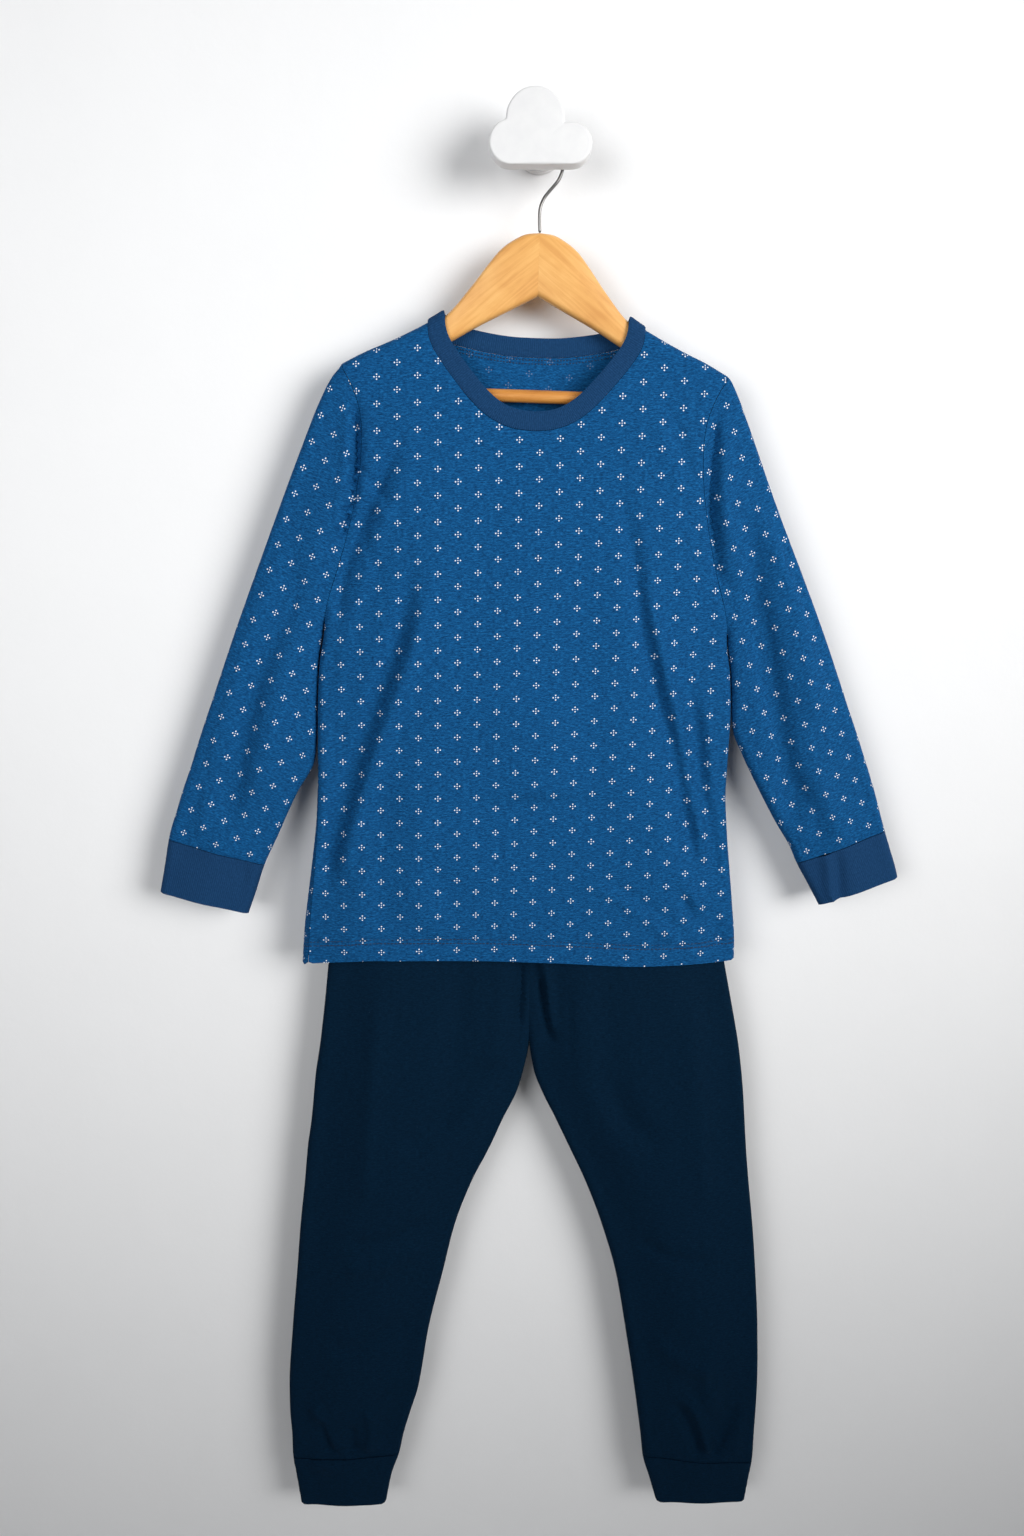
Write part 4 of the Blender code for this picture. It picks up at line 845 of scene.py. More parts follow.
def smooth_height(facing, x, z, low, high):
    """How far the top stands off its middle without its folds."""
    base = read(TORSO, "edge", z)
    edge = np.minimum(x - low, high - x) - EDGE_RADIUS
    return base + (half_depth(TORSO, facing, z) - base) * ease(edge / CROWN_REACH) * ease(
        (ridge(x) - SHOULDER_RADIUS - z) / SHOULDER_REACH)


def torso_height(facing, x, z, low, high):
    edge = np.minimum(x - low, high - x) - EDGE_RADIUS
    front = fold_height(TOP_FOLDS, x, z) + crease_height(FRONT_CREASES, x, z) + swell(x, z)
    back = fold_height(TOP_BACK_FOLDS, x, z) + crease_height(BACK_CREASES, x, z) + swell(x, z, 2.0)
    small = np.where(facing < 0, front, back) * ease(edge / 8) * below_ridge(x, z, 12)
    plain = smooth_height(facing, x, z, low, high)
    return plain + np.maximum(small, -MOST_SUNK * plain) + seam_pull(x, z) * below_ridge(x, z, 8)


def torso(side, a, b, height=torso_height):
    """Points of the top's body, side -1 the front or 1 the back, from places on the unrolled cloth."""
    low, high = torso_folds(b)
    x, turn = fold_turn(a, low, high)
    flat_top = ridge(x) - SHOULDER_RADIUS
    angle = np.clip((b - flat_top) / SHOULDER_RADIUS, 0.0, None)
    z = np.where(b > flat_top, flat_top + SHOULDER_RADIUS * np.sin(angle), b)
    turn = turn * np.cos(angle)
    facing = np.where(turn >= 0, side, -side)
    return leaned(x, MIDDLE_Y + side * turn * height(facing, x, z, low, high), z)


def armhole(sign):
    """Unrolled places of an armhole seam, from the shoulder point to the armpit."""
    rows = [(ARMHOLE[0].x, float(ridge_top(ARMHOLE[0].x)))]
    for x, z in ARMHOLE[1:]:
        edge = side_fold(sign, z)
        top = ridge(x) - SHOULDER_RADIUS
        b = top + SHOULDER_RADIUS * math.asin(min(1.0, (z - top) / SHOULDER_RADIUS)) if z > top else z
        rows.append((float(unrolled(x, -edge, edge)), float(b)))
    return smooth_line(rows, capped(STEP)) * (sign, 1)


def neckline(rows):
    """Unrolled places of half the neckline seam, from the shoulder fold to the middle."""
    return smooth_line([(rows[0].x, float(ridge_top(rows[0].x))), *rows[1:]], capped(STEP))


def torso_outline(side, neck_rows):
    """The outline of the front or the back, clockwise from the left shoulder point."""
    half = neckline(neck_rows)
    shoulder = np.linspace(ARMHOLE[0].x, half[0][0], 18)[1:-1]
    ridge_line = np.stack([shoulder, ridge_top(shoulder)], -1)
    left, right = armhole(-1), armhole(1)
    seams = {}
    for sign in (-1, 1):
        armpit_z = right[-1][1]
        low_end = hem_height(sign * side_fold(sign, armpit_z))
        b = np.linspace(armpit_z, low_end, round(SIDE_SEAM_LENGTH / STEP))[1:]
        moved = read(TORSO, "seam", b) if sign < 0 else 0 * b
        fold = side_fold(sign, b) + QUARTER_LESS_RADIUS * EDGE_RADIUS
        seams[sign] = np.stack([sign * (fold + side * moved), b], -1)
    low, high = seams[-1][-1][0], seams[1][-1][0]
    hem = np.linspace(high, low, round((high - low) / STEP))[1:-1]
    return np.concatenate([
        left[:1], ridge_line * (-1, 1), half * (-1, 1), half[-2::-1], ridge_line[::-1], right,
        seams[1], np.stack([hem, hem_height(hem)], -1), seams[-1][::-1], left[:0:-1],
    ])


def torso_panel(node, side, neck_rows):
    outline = inset(torso_outline(side, neck_rows), PANEL_INSET)
    chart = printed(BODY_PRINT)
    shell(node, "blue_jersey", outline, (), (side,), torso, lambda at, a, b: chart(at, a * -at, b))


def neck_rib():
    """The rib round the neck, a folded band with soft edges."""
    loops = []
    for rows in (NECK_FRONT, NECK_BACK):
        half = neckline(rows)
        run = unit(np.gradient(half, axis=0))
        at_shoulder = ease(1 - np.arange(len(half)) / (0.45 * len(half)))[:, None]
        square = np.stack([run[:, 1], -run[:, 0]], -1)
        way = unit(square * (1 - at_shoulder) + np.array(RIB_RISE) * at_shoulder)
        seam = half + way * RIB_GAP
        loops.append(both_halves(np.concatenate([seam, seam + way * RIB_WIDTH], 1)))
    front, back = loops[0][:-1], loops[1][:0:-1]
    sides = np.repeat((-1, 1), (len(front), len(back)))
    strip = np.concatenate([front, back])
    ring = len(strip)
    length = lengths_along(strip[:, :2])
    outer, inner, uv = [], [], []
    for share in np.linspace(0, 1, 9):
        a = strip[:, 0] + (strip[:, 2] - strip[:, 0]) * share
        b = np.minimum(strip[:, 1] + (strip[:, 3] - strip[:, 1]) * share, ridge_top(a))
        spots, out = np.zeros((ring, 3)), np.zeros((ring, 3))
        for side in (-1, 1):
            own = sides == side
            spots[own] = torso(side, a[own], b[own], smooth_height)
            out[own] = normals(lambda at, p, q: torso(at, p, q, smooth_height), side, a[own], b[own])
        roll = 0.55 * max(0.0, abs(2 * share - 1) * 8 - 7)
        proud = (RIB_PROUD + RIB_STAND * ease((b - ridge(a) + 6) / 8))[:, None]
        outer.append(spots + out * (proud - roll))
        inner.append(spots + out * (proud - RIB_CLOTH + roll))
        uv.append(np.stack([length, np.full(ring, share * RIB_WIDTH)], -1))
    points, uv = np.concatenate(outer + inner), np.concatenate(uv + uv)
    half, whole = len(outer) * ring, len(points)
    faces = np.array(bands([*range(0, half, ring), *range(whole - ring, half - 1, -ring), 0], ring))
    piece("neck_rib_fabric", "blue_rib", "neck_rib", points, faces, uv[faces])


# Sleeves, legs and cuffs

def body_side(sign, height):
    """Where the body's side fold is, at a height of the wall."""
    z = height - APEX_Z
    for _ in range(3):
        x = sign * side_fold(sign, z)
        z = (height - APEX_Z + x * math.sin(LEAN)) / math.cos(LEAN)
    return x * math.cos(LEAN) + z * math.sin(LEAN)


def limb_surface(rows, middle_y, folds=(), creases=(), reach=40.0, hole=None, ends=None):
    """point(side, a, b) and edges(b) of a sleeve, a leg or a cuff."""
    sign = -1 if rows[-1].outer < rows[-1].inner else 1

    def edges(b):
        pair = read(rows, "outer", b), read(rows, "inner", b)
        low, high = np.minimum(*pair), np.maximum(*pair)
        if hole:
            armpit_z = hole[-1].z
            seam = read(hole, "x", b) - sign * read(hole, "past", b)
            clear = body_side(sign, b) + sign * SIDE_CLEARANCE * ease((armpit_z - b) / 12)
            if sign < 0:
                high = np.where(b > armpit_z, seam, np.minimum(high, clear))
            else:
                low = np.where(b > armpit_z, seam, np.maximum(low, clear))
        return low, high

    def height(facing, x, b, low, high):
        grown = ease((x - low - EDGE_RADIUS) / reach) * ease((high - EDGE_RADIUS - x) / reach)
        inner = np.minimum(x - low, high - x) - EDGE_RADIUS
        small = crease_height(creases, x, b) + swell(x, b, 1.0)
        lift = np.where(facing < 0, fold_height(folds, x, b), 0.0) + np.where(facing < 0, small, -0.7 * small)
        out = EDGE_RADIUS + (half_depth(rows, facing, b) - EDGE_RADIUS) * grown
        out = out + np.maximum(lift * ease(inner / 8), -MOST_SUNK * out)
        if ends is not None:
            past = b - end_height(ends, x)
            pucker = CUFF_PUCKER * np.sin(x * 0.8) * soft_bump(past, 9)
            out = out - CUFF_GROOVE * soft_bump(past, 2.2) + pucker
        return out

    def point(side, a, b):
        low, high = edges(b)
        x, turn = fold_turn(a, low, high)
        facing = np.where(turn >= 0, side, -side)
        out = turn * height(facing, x, b, low, high)
        if hole:
            seam = read(hole, "x", b)
            span = np.clip(0.5 * (b - hole[-1].z), 4.0, SLEEVE_EASE)
            own_x, own_turn = fold_turn(unrolled(seam, low, high), low, high)
            own = own_turn * height(facing, own_x, b, low, high)
            near = ease(1 - abs(x - seam) / span)
            pull = np.where(turn >= 0, 1, -1) * (half_depth(hole, facing, b) - own) * near * np.minimum(
                1.0, abs(turn) * 3)
            out = out + np.where(b > hole[-1].z, pull, 0.0)
        return np.stack([x, middle_y(b) + side * out, b], -1)

    return point, edges


def end_height(line, x):
    (x0, z0), (x1, z1) = line
    return z0 + (z1 - z0) * (x - x0) / (x1 - x0)


def fold_line(edges, b, outer, sign):
    low, high = edges(b)
    extra = QUARTER_LESS_RADIUS * EDGE_RADIUS
    return low - extra if (sign < 0) == outer else high + extra


def between(start, stop):
    count = max(2, round(math.dist(start, stop) / STEP))
    return np.linspace(start, stop, count + 1)[1:-1]


def limb_outline(edges, top, end):
    """The outline down the outer fold, across and up the inner fold, and which points lie on a fold."""
    sign = -1 if end[0].x < end[1].x else 1
    down = np.linspace(top[0].z, end[0].z, max(3, round((top[0].z - end[0].z) / STEP)) + 1)
    up = np.linspace(end[1].z, top[1].z, max(3, round((top[1].z - end[1].z) / STEP)) + 1)
    downs = np.stack([fold_line(edges, down, True, sign), down], -1)
    ups = np.stack([fold_line(edges, up, False, sign), up], -1)
    outline = np.concatenate([downs, between(downs[-1], ups[0]), ups])
    return outline, [*range(len(downs)), *range(len(outline) - len(ups), len(outline))]


def limb_chart(pattern, edges, sign):
    """The cloth's grid; the back goes on from the front round the outer fold."""
    return printed(pattern, lambda b: fold_line(edges, b, True, sign))


def tube(node, slot, surface, top, end):
    """A tube of rib cloth between two slanting lines, its grain along it."""
    point, edges = surface
    outline, shared = limb_outline(edges, top, end)
    outline = np.concatenate([outline, between(outline[-1], outline[0])])
    slant = math.atan2(end[0].x + end[1].x - top[0].x - top[1].x, top[0].z + top[1].z - end[0].z - end[1].z)
    c, s = math.cos(slant), math.sin(slant)

    def chart(side, a, b):
        across, down = a * c + b * s, b * c - a * s
        return np.stack([across if side < 0 else -across, down], -1)

    shell(node, slot, outline, shared, (-1, 1), point, chart, RIB_CLOTH)


def moved_down(line, distance):
    return tuple(Line(end.x, end.z - distance) for end in line)


def level_middle_y(b):
    return MIDDLE_Y + 0 * b


def sleeve_middle_y(b):
    return MIDDLE_Y + (CUFF_MIDDLE_Y - MIDDLE_Y) * ease((-200 - b) / 300)


def sleeve(node, rows, creases, sign, end, pattern):
    seam = armhole(sign)
    run = unit(np.gradient(seam, axis=0))
    a, b = (seam + np.stack([run[:, 1], -run[:, 0]], -1) * -sign * PANEL_INSET).T
    b[0] = ridge_top(a[0])
    ring = {side: (torso(side, a, b), normals(torso, side, a, b)) for side in (-1, 1)}
    low, high = torso_folds(seam[:, 1])
    x = fold_turn(seam[:, 0], low, high)[0]
    past = np.maximum(0.0, x - low if sign < 0 else high - x)
    front, back = ring[-1][0], ring[1][0]
    hole = tuple(Hole(f[2], f[0], p, MIDDLE_Y - f[1], k[1] - MIDDLE_Y) for f, k, p in zip(front, back, past))
    point, edges = limb_surface(rows, sleeve_middle_y, (), creases, hole=hole, ends=end)
    inner = front[-2:0:-1]
    low, high = edges(inner[:, 2])
    fold = fold_line(edges, inner[:, 2], True, sign)
    inward = np.minimum(sign * unrolled(inner[:, 0], low, high), sign * fold - 0.5)
    upper = np.stack([sign * inward, inner[:, 2]], -1)
    outline, shared = limb_outline(edges, (Line(0, front[0][2]), Line(0, front[-1][2])), end)
    first = len(outline)
    outline = np.concatenate([outline, upper])
    beside = front[-1] + (sign * SEAM_GAP, 0, 0)
    fixed = {(-1, 0): (front[0], ring[-1][1][0]), (-1, first - 1): (beside, np.array([-sign, 0, 0]))}
    for side in (-1, 1):
        spots, out = ring[side]
        for k in range(len(inner)):
            fixed[side, first + k] = (spots[-2 - k], out[-2 - k])
    shell(node, "blue_jersey", outline, shared, (-1, 1), point, limb_chart(pattern, edges, sign), fixed=fixed)


def leg(node, rows, sign, end):
    """One leg, cut in one piece: open along the centre seam, and a closed tube below the crotch."""
    point, edges = limb_surface(rows, level_middle_y, LEG_FOLDS, LEG_CREASES, LEG_CROWN_REACH, ends=end)
    top_z = WAIST_SEAM_Z - SEAM_GAP
    # Points along the centre seam lie closer together just above the crotch
    share = np.concatenate([np.linspace(0.01, 0.1, 10), np.linspace(0.12, 1, 54)])
    b = CROTCH_Z + (top_z - CROTCH_Z) * share
    centre = np.stack([unrolled(CENTRE_X + sign * CENTRE_HALF_GAP, *edges(b)), b], -1)
    outline, shared = limb_outline(edges, (Line(0, top_z), Line(0, CROTCH_Z)), end)
    outline = np.concatenate([outline, centre, between(centre[-1], outline[0])])
    shell(node, "navy_jersey", outline, shared, (-1, 1), point, limb_chart(PLAIN_PRINT, edges, sign))


# Hanger and wall hook

def hanger_arm(node, sign):
    plain, taper = np.arange(2, ARM_TAPER_START, 3.0), np.linspace(ARM_TAPER_START, ARM_REACH, 7)
    stations = np.concatenate([[0.01], plain, taper])
    corner, ring = ARM_EDGE_RADIUS, 28
    top, low = read(ARM_TOP, "z", stations, "x"), read(ARM_LOW, "z", stations, "x")
    shrink = 1.0 - 0.35 * ease((stations - ARM_TAPER_START) / (ARM_REACH - ARM_TAPER_START))
    middle, half = (top + low) / 2, (top - low) / 2 * shrink
    angle = 2 * math.pi * (np.arange(ring) + 0.5) / ring
    flat_y, flat_z = ARM_THICKNESS / 2 - corner, half - corner
    y = np.sign(np.cos(angle)) * flat_y + corner * np.cos(angle)
    z = middle[:, None] + np.sign(np.sin(angle)) * flat_z[:, None] + corner * np.sin(angle)
    x = np.repeat(sign * stations[:, None], ring, 1)
    y = np.broadcast_to(y, x.shape)
    points = leaned(x, MIDDLE_Y + y, z).reshape(-1, 3)
    c, s = math.cos(GRAIN_SLOPE), math.sin(GRAIN_SLOPE)
    along, across = abs(x) * c - z * s, abs(x) * s + z * c
    uv = np.stack([along + OTHER_BOARD * (sign > 0), across + y], -1).reshape(-1, 2)
    lofted(node + "_wood", "hanger_wood", node, points, uv, ring)


def lofted(name, slot, node, points, uv, ring):
    """A closed loft of rings, with flat ends."""
    faces = np.array(loft_faces(0, len(points) // ring, ring))
    piece(name, slot, node, points, faces, uv[faces])


def tube_along(name, slot, node, route, radius, ring, soft_end):
    """A round rod or wire along points in millimetres, its ends slightly rounded."""
    run = unit(np.gradient(route, axis=0))
    side = unit(np.cross(run, (0, 1, 0)))
    up = np.cross(run, side)
    angle = 2 * math.pi * np.arange(ring) / ring
    thick = np.full(len(route), radius)
    thick[[0, -1]] -= soft_end
    circle = side[:, None] * np.cos(angle)[:, None] + up[:, None] * np.sin(angle)[:, None]
    points = (route[:, None] + circle * thick[:, None, None]).reshape(-1, 3)
    uv = np.stack(np.broadcast_arrays(lengths_along(route)[:, None], angle * radius), -1).reshape(-1, 2)
    lofted(name, slot, node, points, uv, ring)


def hanger():
    hanger_arm("hanger_arm_left", -1)
    hanger_arm("hanger_arm_right", 1)
    straight = BAR_HALF_LENGTH - BAR_END_ROUNDING
    x = np.concatenate([[-BAR_HALF_LENGTH], np.linspace(-straight, straight, 60), [BAR_HALF_LENGTH]])
    bar = leaned(x, MIDDLE_Y, BAR_Z + 0 * x)
    tube_along("hanger_bar_wood", "bar_wood", "hanger_bar", bar, BAR_DIAMETER / 2, 32, BAR_END_ROUNDING)
    centre_z = PEG_DIAMETER / 2 + SEAM_GAP + WIRE_DIAMETER / 2 - HOOK_RADIUS
    # The stem of the wire, in wall millimetres, from the hanger up to the bow
    stem = smooth_line([
        (0.0, APEX_Z + SEAM_GAP + 0.1), (-0.3, -56.0), (0.2, -47.5), (3.2, -40.4), (8.8, -33.8),
        (13.6, -28.2), (16.6, -20.5), (HOOK_RADIUS, centre_z),
    ], evenly(1.2))
    turn = np.radians(np.linspace(0, HOOK_END_ANGLE, 60))[1:]
    bow = np.stack([HOOK_RADIUS * np.cos(turn), centre_z + HOOK_RADIUS * np.sin(turn)], -1)
    wire = np.insert(np.concatenate([stem, bow]), 1, MIDDLE_Y, axis=1)
    tube_along("hanger_hook_wire", "hook_wire", "hanger_hook", wire, WIRE_DIAMETER / 2, 16, 0.5)


def cloud_radius(angle, centre_z):
    """How far the cloud reaches from its middle in a direction: its bumps and its flat bottom."""
    way_x, way_z = np.cos(angle), np.sin(angle)
    reach = np.zeros_like(angle)
    for bump in CLOUD:
        along_way = bump.x * way_x + (bump.z - centre_z) * way_z
        off = bump.x ** 2 + (bump.z - centre_z) ** 2 - along_way ** 2
        reach = np.where(off < bump.radius ** 2,
                         np.maximum(reach, along_way + np.sqrt(np.maximum(bump.radius ** 2 - off, 0))), reach)
    flat = (PLATE_BOTTOM_Z - centre_z) / np.where(way_z < 0, way_z, -1)
    return np.where((way_z < 0) & (abs(flat * way_x) < abs(CLOUD[1].x)), flat, reach)


def wall_hook():
    centre_z, count = -9.0, 240
    angle = 2 * math.pi * np.arange(count) / count
    reach = cloud_radius(angle, centre_z)
    for _ in range(3):
        reach = (np.roll(reach, 1) + 2 * reach + np.roll(reach, -1)) / 4
    quarter = np.radians(np.linspace(0, 90, 7))
    front_y = PLATE_BACK_Y - PLATE_THICKNESS
    points = []
    faces_y = ((PLATE_BACK_Y, -PLATE_BEVEL, quarter), (front_y, PLATE_BEVEL, quarter[::-1]))
    for start_y, bevel_y, turns in faces_y:
        for t in turns:
            y, r = start_y + bevel_y * (1 - math.cos(t)), reach - PLATE_BEVEL * (1 - math.sin(t))
            points.append(np.stack([r * np.cos(angle), np.full(count, y), centre_z + r * np.sin(angle)], -1))
    points = np.concatenate([*points, [[0, PLATE_BACK_Y, centre_z], [0, front_y, centre_z]]])
    last = len(points) - 2 - count
    faces = bands(range(0, last + 1, count), count)
    for k in range(count):
        j = (k + 1) % count
        faces += [(len(points) - 2, j, k), (len(points) - 1, last + k, last + j)]
    faces = np.array(faces)
    piece("cloud_plate_painted", "white_paint", "cloud_plate", points, faces, points[:, [0, 2]][faces])
    base, peg = BASE_DIAMETER / 2, PEG_DIAMETER / 2
    edge = [(-BASE_THICKNESS + BASE_BEVEL - BASE_BEVEL * math.sin(t),
             base - BASE_BEVEL + BASE_BEVEL * math.cos(t)) for t in quarter]
    profile = [(0.0, base), *edge, (-BASE_THICKNESS, peg + PEG_BEVEL), (-BASE_THICKNESS - PEG_BEVEL, peg),
               (PLATE_BACK_Y + SEAM_GAP, peg)]
    ring = 64
    angle = 2 * math.pi * np.arange(ring) / ring
    points = np.concatenate([np.stack([r * np.cos(angle), np.full(ring, y), r * np.sin(angle)], -1)
                             for y, r in profile])
    lofted("wall_hook_painted", "white_paint", "wall_hook_base", points, points[:, [0, 2]], ring)


# Stitches

def stitches(name, places, ways, pitch, length, radius):
    """Short threads that lie on the cloth along a line of points, one every pitch."""
    far = lengths_along(places)
    points, faces = [], []
    for start in np.arange(pitch / 2, far[-1] - length, pitch):
        tail, head, way = (
            np.array([np.interp(at, far, values[:, k]) for k in range(3)])
            for at, values in ((start, places), (start + length, places), (start + length / 2, ways))
        )
        way = unit(way)
        run = unit(head - tail)
        side = np.cross(run, way)
        faces += loft_faces(len(points), len(STITCH_SHAPE), 6)
        for share, thick in STITCH_SHAPE:
            lift = THREAD_LIFT + 0.25 * radius * (thick - 1)
            middle = (tail + head) / 2 + run * share * length + way * lift
            for t in math.pi * np.arange(6) / 3:
                points.append(middle + (side * math.cos(t) + way * 0.7 * math.sin(t)) * radius * thick)
    points, faces = np.array(points), np.array(faces)
    piece(name, "blue_rib", None, points, faces, points[:, [0, 2]][faces], finish=materials["thread"])


def on_torso(side, line):
    """Points and ways out on the top along a line of unrolled places."""
    a, b = line.T
    return torso(side, a, b), normals(torso, side, a, b)


def sewing():
    """The stitch lines that show, in thread painted dark as shade: twice round the hem, and along the back
    neck.
    """
    low, high = torso_folds(np.array([-570.0]))
    x = np.linspace(low[0] + 1, high[0] - 1, 240)
    for side, word in ((-1, "front"), (1, "back")):
        for row, up in enumerate((HEM_WIDTH - HEM_STEP, HEM_WIDTH + HEM_STEP)):
            places, ways = on_torso(side, np.stack([x, hem_height(x) + up], -1))
            stitches(f"hem_stitches_{word}_{row + 1}", places, ways, pitch=3.0, length=2.5, radius=0.46)
    line = both_halves(neckline(NECK_BACK)[4:])
    for row, off in enumerate((2.0, 4.6)):
        places, ways = on_torso(1, line - (0, off))
        inside_out = places - ways * (CLOTH + 0.1)
        stitches(f"neck_stitches_{row + 1}", inside_out, -ways, pitch=2.4, length=1.5, radius=0.42)


# Materials

class Nodes:
    """Short ways to add and link shader nodes."""

    def __init__(self, name, values):
        self.material = bpy.data.materials.new(name)
        self.material.use_nodes = True
        self.tree = self.material.node_tree
        self.shader = self.tree.nodes["Principled BSDF"]
        self.set(self.shader, values)

    def set(self, node, values):
        """Puts numbers, or links from other nodes, into the inputs with these names or places."""
        for key, value in values.items():
            if isinstance(value, bpy.types.NodeSocket):
                self.tree.links.new(value, node.inputs[key])
            else:
                node.inputs[key].default_value = value
        return node

    def add(self, kind, values=(), **settings):
        node = self.tree.nodes.new(kind)
        for key, value in settings.items():
            setattr(node, key, value)
        return self.set(node, dict(values))

    def math(self, operation, a, b=0.0, clamp=False):
        return self.add("ShaderNodeMath", {0: a, 1: b}, operation=operation, use_clamp=clamp).outputs[0]

    def weighted(self, *pairs):
        """The sum of two values, each times its share."""
        return self.math("ADD", *[self.math("MULTIPLY", value, share) for value, share in pairs])

    def vector(self, operation, a, b=(0, 0, 0)):
        return self.add("ShaderNodeVectorMath", {0: a, 1: b}, operation=operation).outputs[0]

    def parts(self, place):
        return self.add("ShaderNodeSeparateXYZ", {"Vector": place}).outputs

    def chart(self):
        return self.add("ShaderNodeUVMap", uv_map="cloth").outputs[0]

    def noise(self, place, stretch, detail=2.0, roughness=0.5, distortion=0.0):
        scaled = self.vector("MULTIPLY", place, stretch)
        values = {"Vector": scaled, "Scale": 1.0, "Detail": detail, "Roughness": roughness}
        return self.add("ShaderNodeTexNoise", {**values, "Distortion": distortion}).outputs["Fac"]

    def ramp(self, factor, stops):
        node = self.add("ShaderNodeValToRGB", {"Fac": factor})
        elements = node.color_ramp.elements
        while len(elements) < len(stops):
            elements.new(0.5)
        for element, (place, colour) in zip(elements, stops):
            element.position = place
            element.color = (*colour, 1.0)
        return node.outputs[0]

    def mix(self, factor, a, colour):
        return self.add("ShaderNodeMix", {0: factor, 6: a, 7: (*colour, 1.0)}, data_type="RGBA").outputs[2]

    def finish(self, colour, height=None, strength=0.0, distance=0.0):
        """The surface's colour and relief."""
        self.set(self.shader, {"Base Color": colour})
        if height is not None:
            values = {"Height": height, "Strength": strength, "Distance": distance}
            self.set(self.shader, {"Normal": self.add("ShaderNodeBump", values).outputs[0]})
        return self.material


def knit_height(n, chart, wale, course):
    """The height of jersey's small V stitches."""
    x, z, _ = n.parts(n.vector("MULTIPLY", chart, (1 / wale, 1 / course, 0)))
    across = n.math("ABSOLUTE", n.math("SUBTRACT", n.math("FRACT", x), 0.5))
    down = n.math("FRACT", n.math("ADD", z, across))
    loop = n.math("ABSOLUTE", n.math("SUBTRACT", down, 0.5))
    return n.math("ADD", n.math("MULTIPLY", across, 0.8), loop)


def motif(n, chart):
    """Small crosses of four dots round a finer one, in rows that are offset by half."""
    cell = (CELL_X * MM, CELL_Z * MM, 1)
    found = []
    for shift in (0.5, 0.0):
        scaled = n.vector("ADD", n.vector("DIVIDE", chart, cell), (shift, shift, 0))
        local = n.vector("SUBTRACT", n.vector("FRACTION", scaled), (0.5, 0.5, 0))
        away_x, away_z, _ = n.parts(n.vector("ABSOLUTE", n.vector("MULTIPLY", local, cell)))
        dots = []
        for x, z, radius in MOTIF_DOTS:
            off = {"X": n.math("SUBTRACT", away_x, x), "Y": n.math("SUBTRACT", away_z, z)}
            place = n.add("ShaderNodeCombineXYZ", off).outputs[0]
            length = n.add("ShaderNodeVectorMath", {0: place, 1: (0, 0, 0)}, operation="LENGTH")
            dots.append(n.math("SUBTRACT", length.outputs["Value"], radius))
        found.append(n.math("MINIMUM", n.math("MINIMUM", dots[0], dots[1]), dots[2]))
    edge = n.math("MINIMUM", *found)
    outside = n.math("DIVIDE", n.math("ADD", edge, 0.0001), 0.00025, clamp=True)
    return n.math("SUBTRACT", 1.0, outside, clamp=True)


def heather(n, chart, dark, middle, light):
    """Jersey of mixed fibres: fine streaks along the courses."""
    fine = n.noise(chart, (420, 1300, 1), 3.0, 0.65)
    coarse = n.noise(chart, (170, 700, 1), 2.0, 0.6)
    mixed = n.weighted((fine, 0.65), (coarse, 0.35))
    return n.ramp(mixed, ((0.36, dark), (0.5, middle), (0.64, light))), mixed


def soft_cloth(name, roughness, specular, sheen, tint):
    return Nodes(name, {"Roughness": roughness, "Specular IOR Level": specular, "Sheen Weight": sheen,
                        "Sheen Roughness": 0.4, "Sheen Tint": (*tint, 1.0)})


def blue_jersey(side, shown):
    """Heathered blue with its motif, which shows faintly on the inside."""
    n = soft_cloth("blue_jersey_" + side, 0.85, 0.08, 0.05, (0.3, 0.6, 1.0))
    chart = n.chart()
    cloth, streaks = heather(n, chart, (0.0012, 0.031, 0.098), (0.0035, 0.066, 0.196), (0.009, 0.122, 0.325))
    colour = n.mix(n.math("MULTIPLY", motif(n, chart), shown), cloth, (0.86, 0.90, 0.95))
    knit = knit_height(n, chart, 0.0011, 0.0009)
    return n.finish(colour, n.math("ADD", knit, n.math("MULTIPLY", streaks, 1.6)), 0.35, 0.0002)


def blue_rib():
    n = soft_cloth("blue_rib_cloth", 0.88, 0.08, 0.04, (0.3, 0.6, 1.0))
    chart = n.chart()
    ribs = n.math("SINE", n.math("MULTIPLY", n.parts(chart)[0], 2 * math.pi / 0.0016))
    grain = n.noise(chart, (900, 500, 1), 3.0, 0.6)
    tone = n.ramp(grain, ((0.35, (0.0062, 0.037, 0.104)), (0.65, (0.012, 0.057, 0.154))))
    # Where the relief below sinks between the ribs the colour is painted darker: painted shade in the rib's
    # grooves.
    colour = n.mix(n.math("MULTIPLY", n.math("ADD", ribs, 1.0), 0.22), tone, (0.0055, 0.031, 0.088))
    return n.finish(colour, n.weighted((ribs, -0.5), (grain, 0.5)), 0.5, 0.0003)


def navy_jersey():
    """Heathered navy with a little pale lint."""
    n = soft_cloth("navy_jersey_cloth", 0.88, 0.04, 0.02, (0.1, 0.5, 1.0))
    chart = n.chart()
    tones = (0.0010, 0.0085, 0.0205), (0.0014, 0.0120, 0.0300), (0.0021, 0.0165, 0.0410)
    cloth, streaks = heather(n, chart, *tones)
    lint = n.ramp(n.noise(chart, (700, 700, 1), 1.0), ((0.80, (0, 0, 0)), (0.86, (1, 1, 1))))
    colour = n.mix(n.math("MULTIPLY", lint, 0.25), cloth, (0.20, 0.28, 0.38))
    return n.finish(colour, n.math("ADD", knit_height(n, chart, 0.0010, 0.0008), streaks), 0.3, 0.0002)


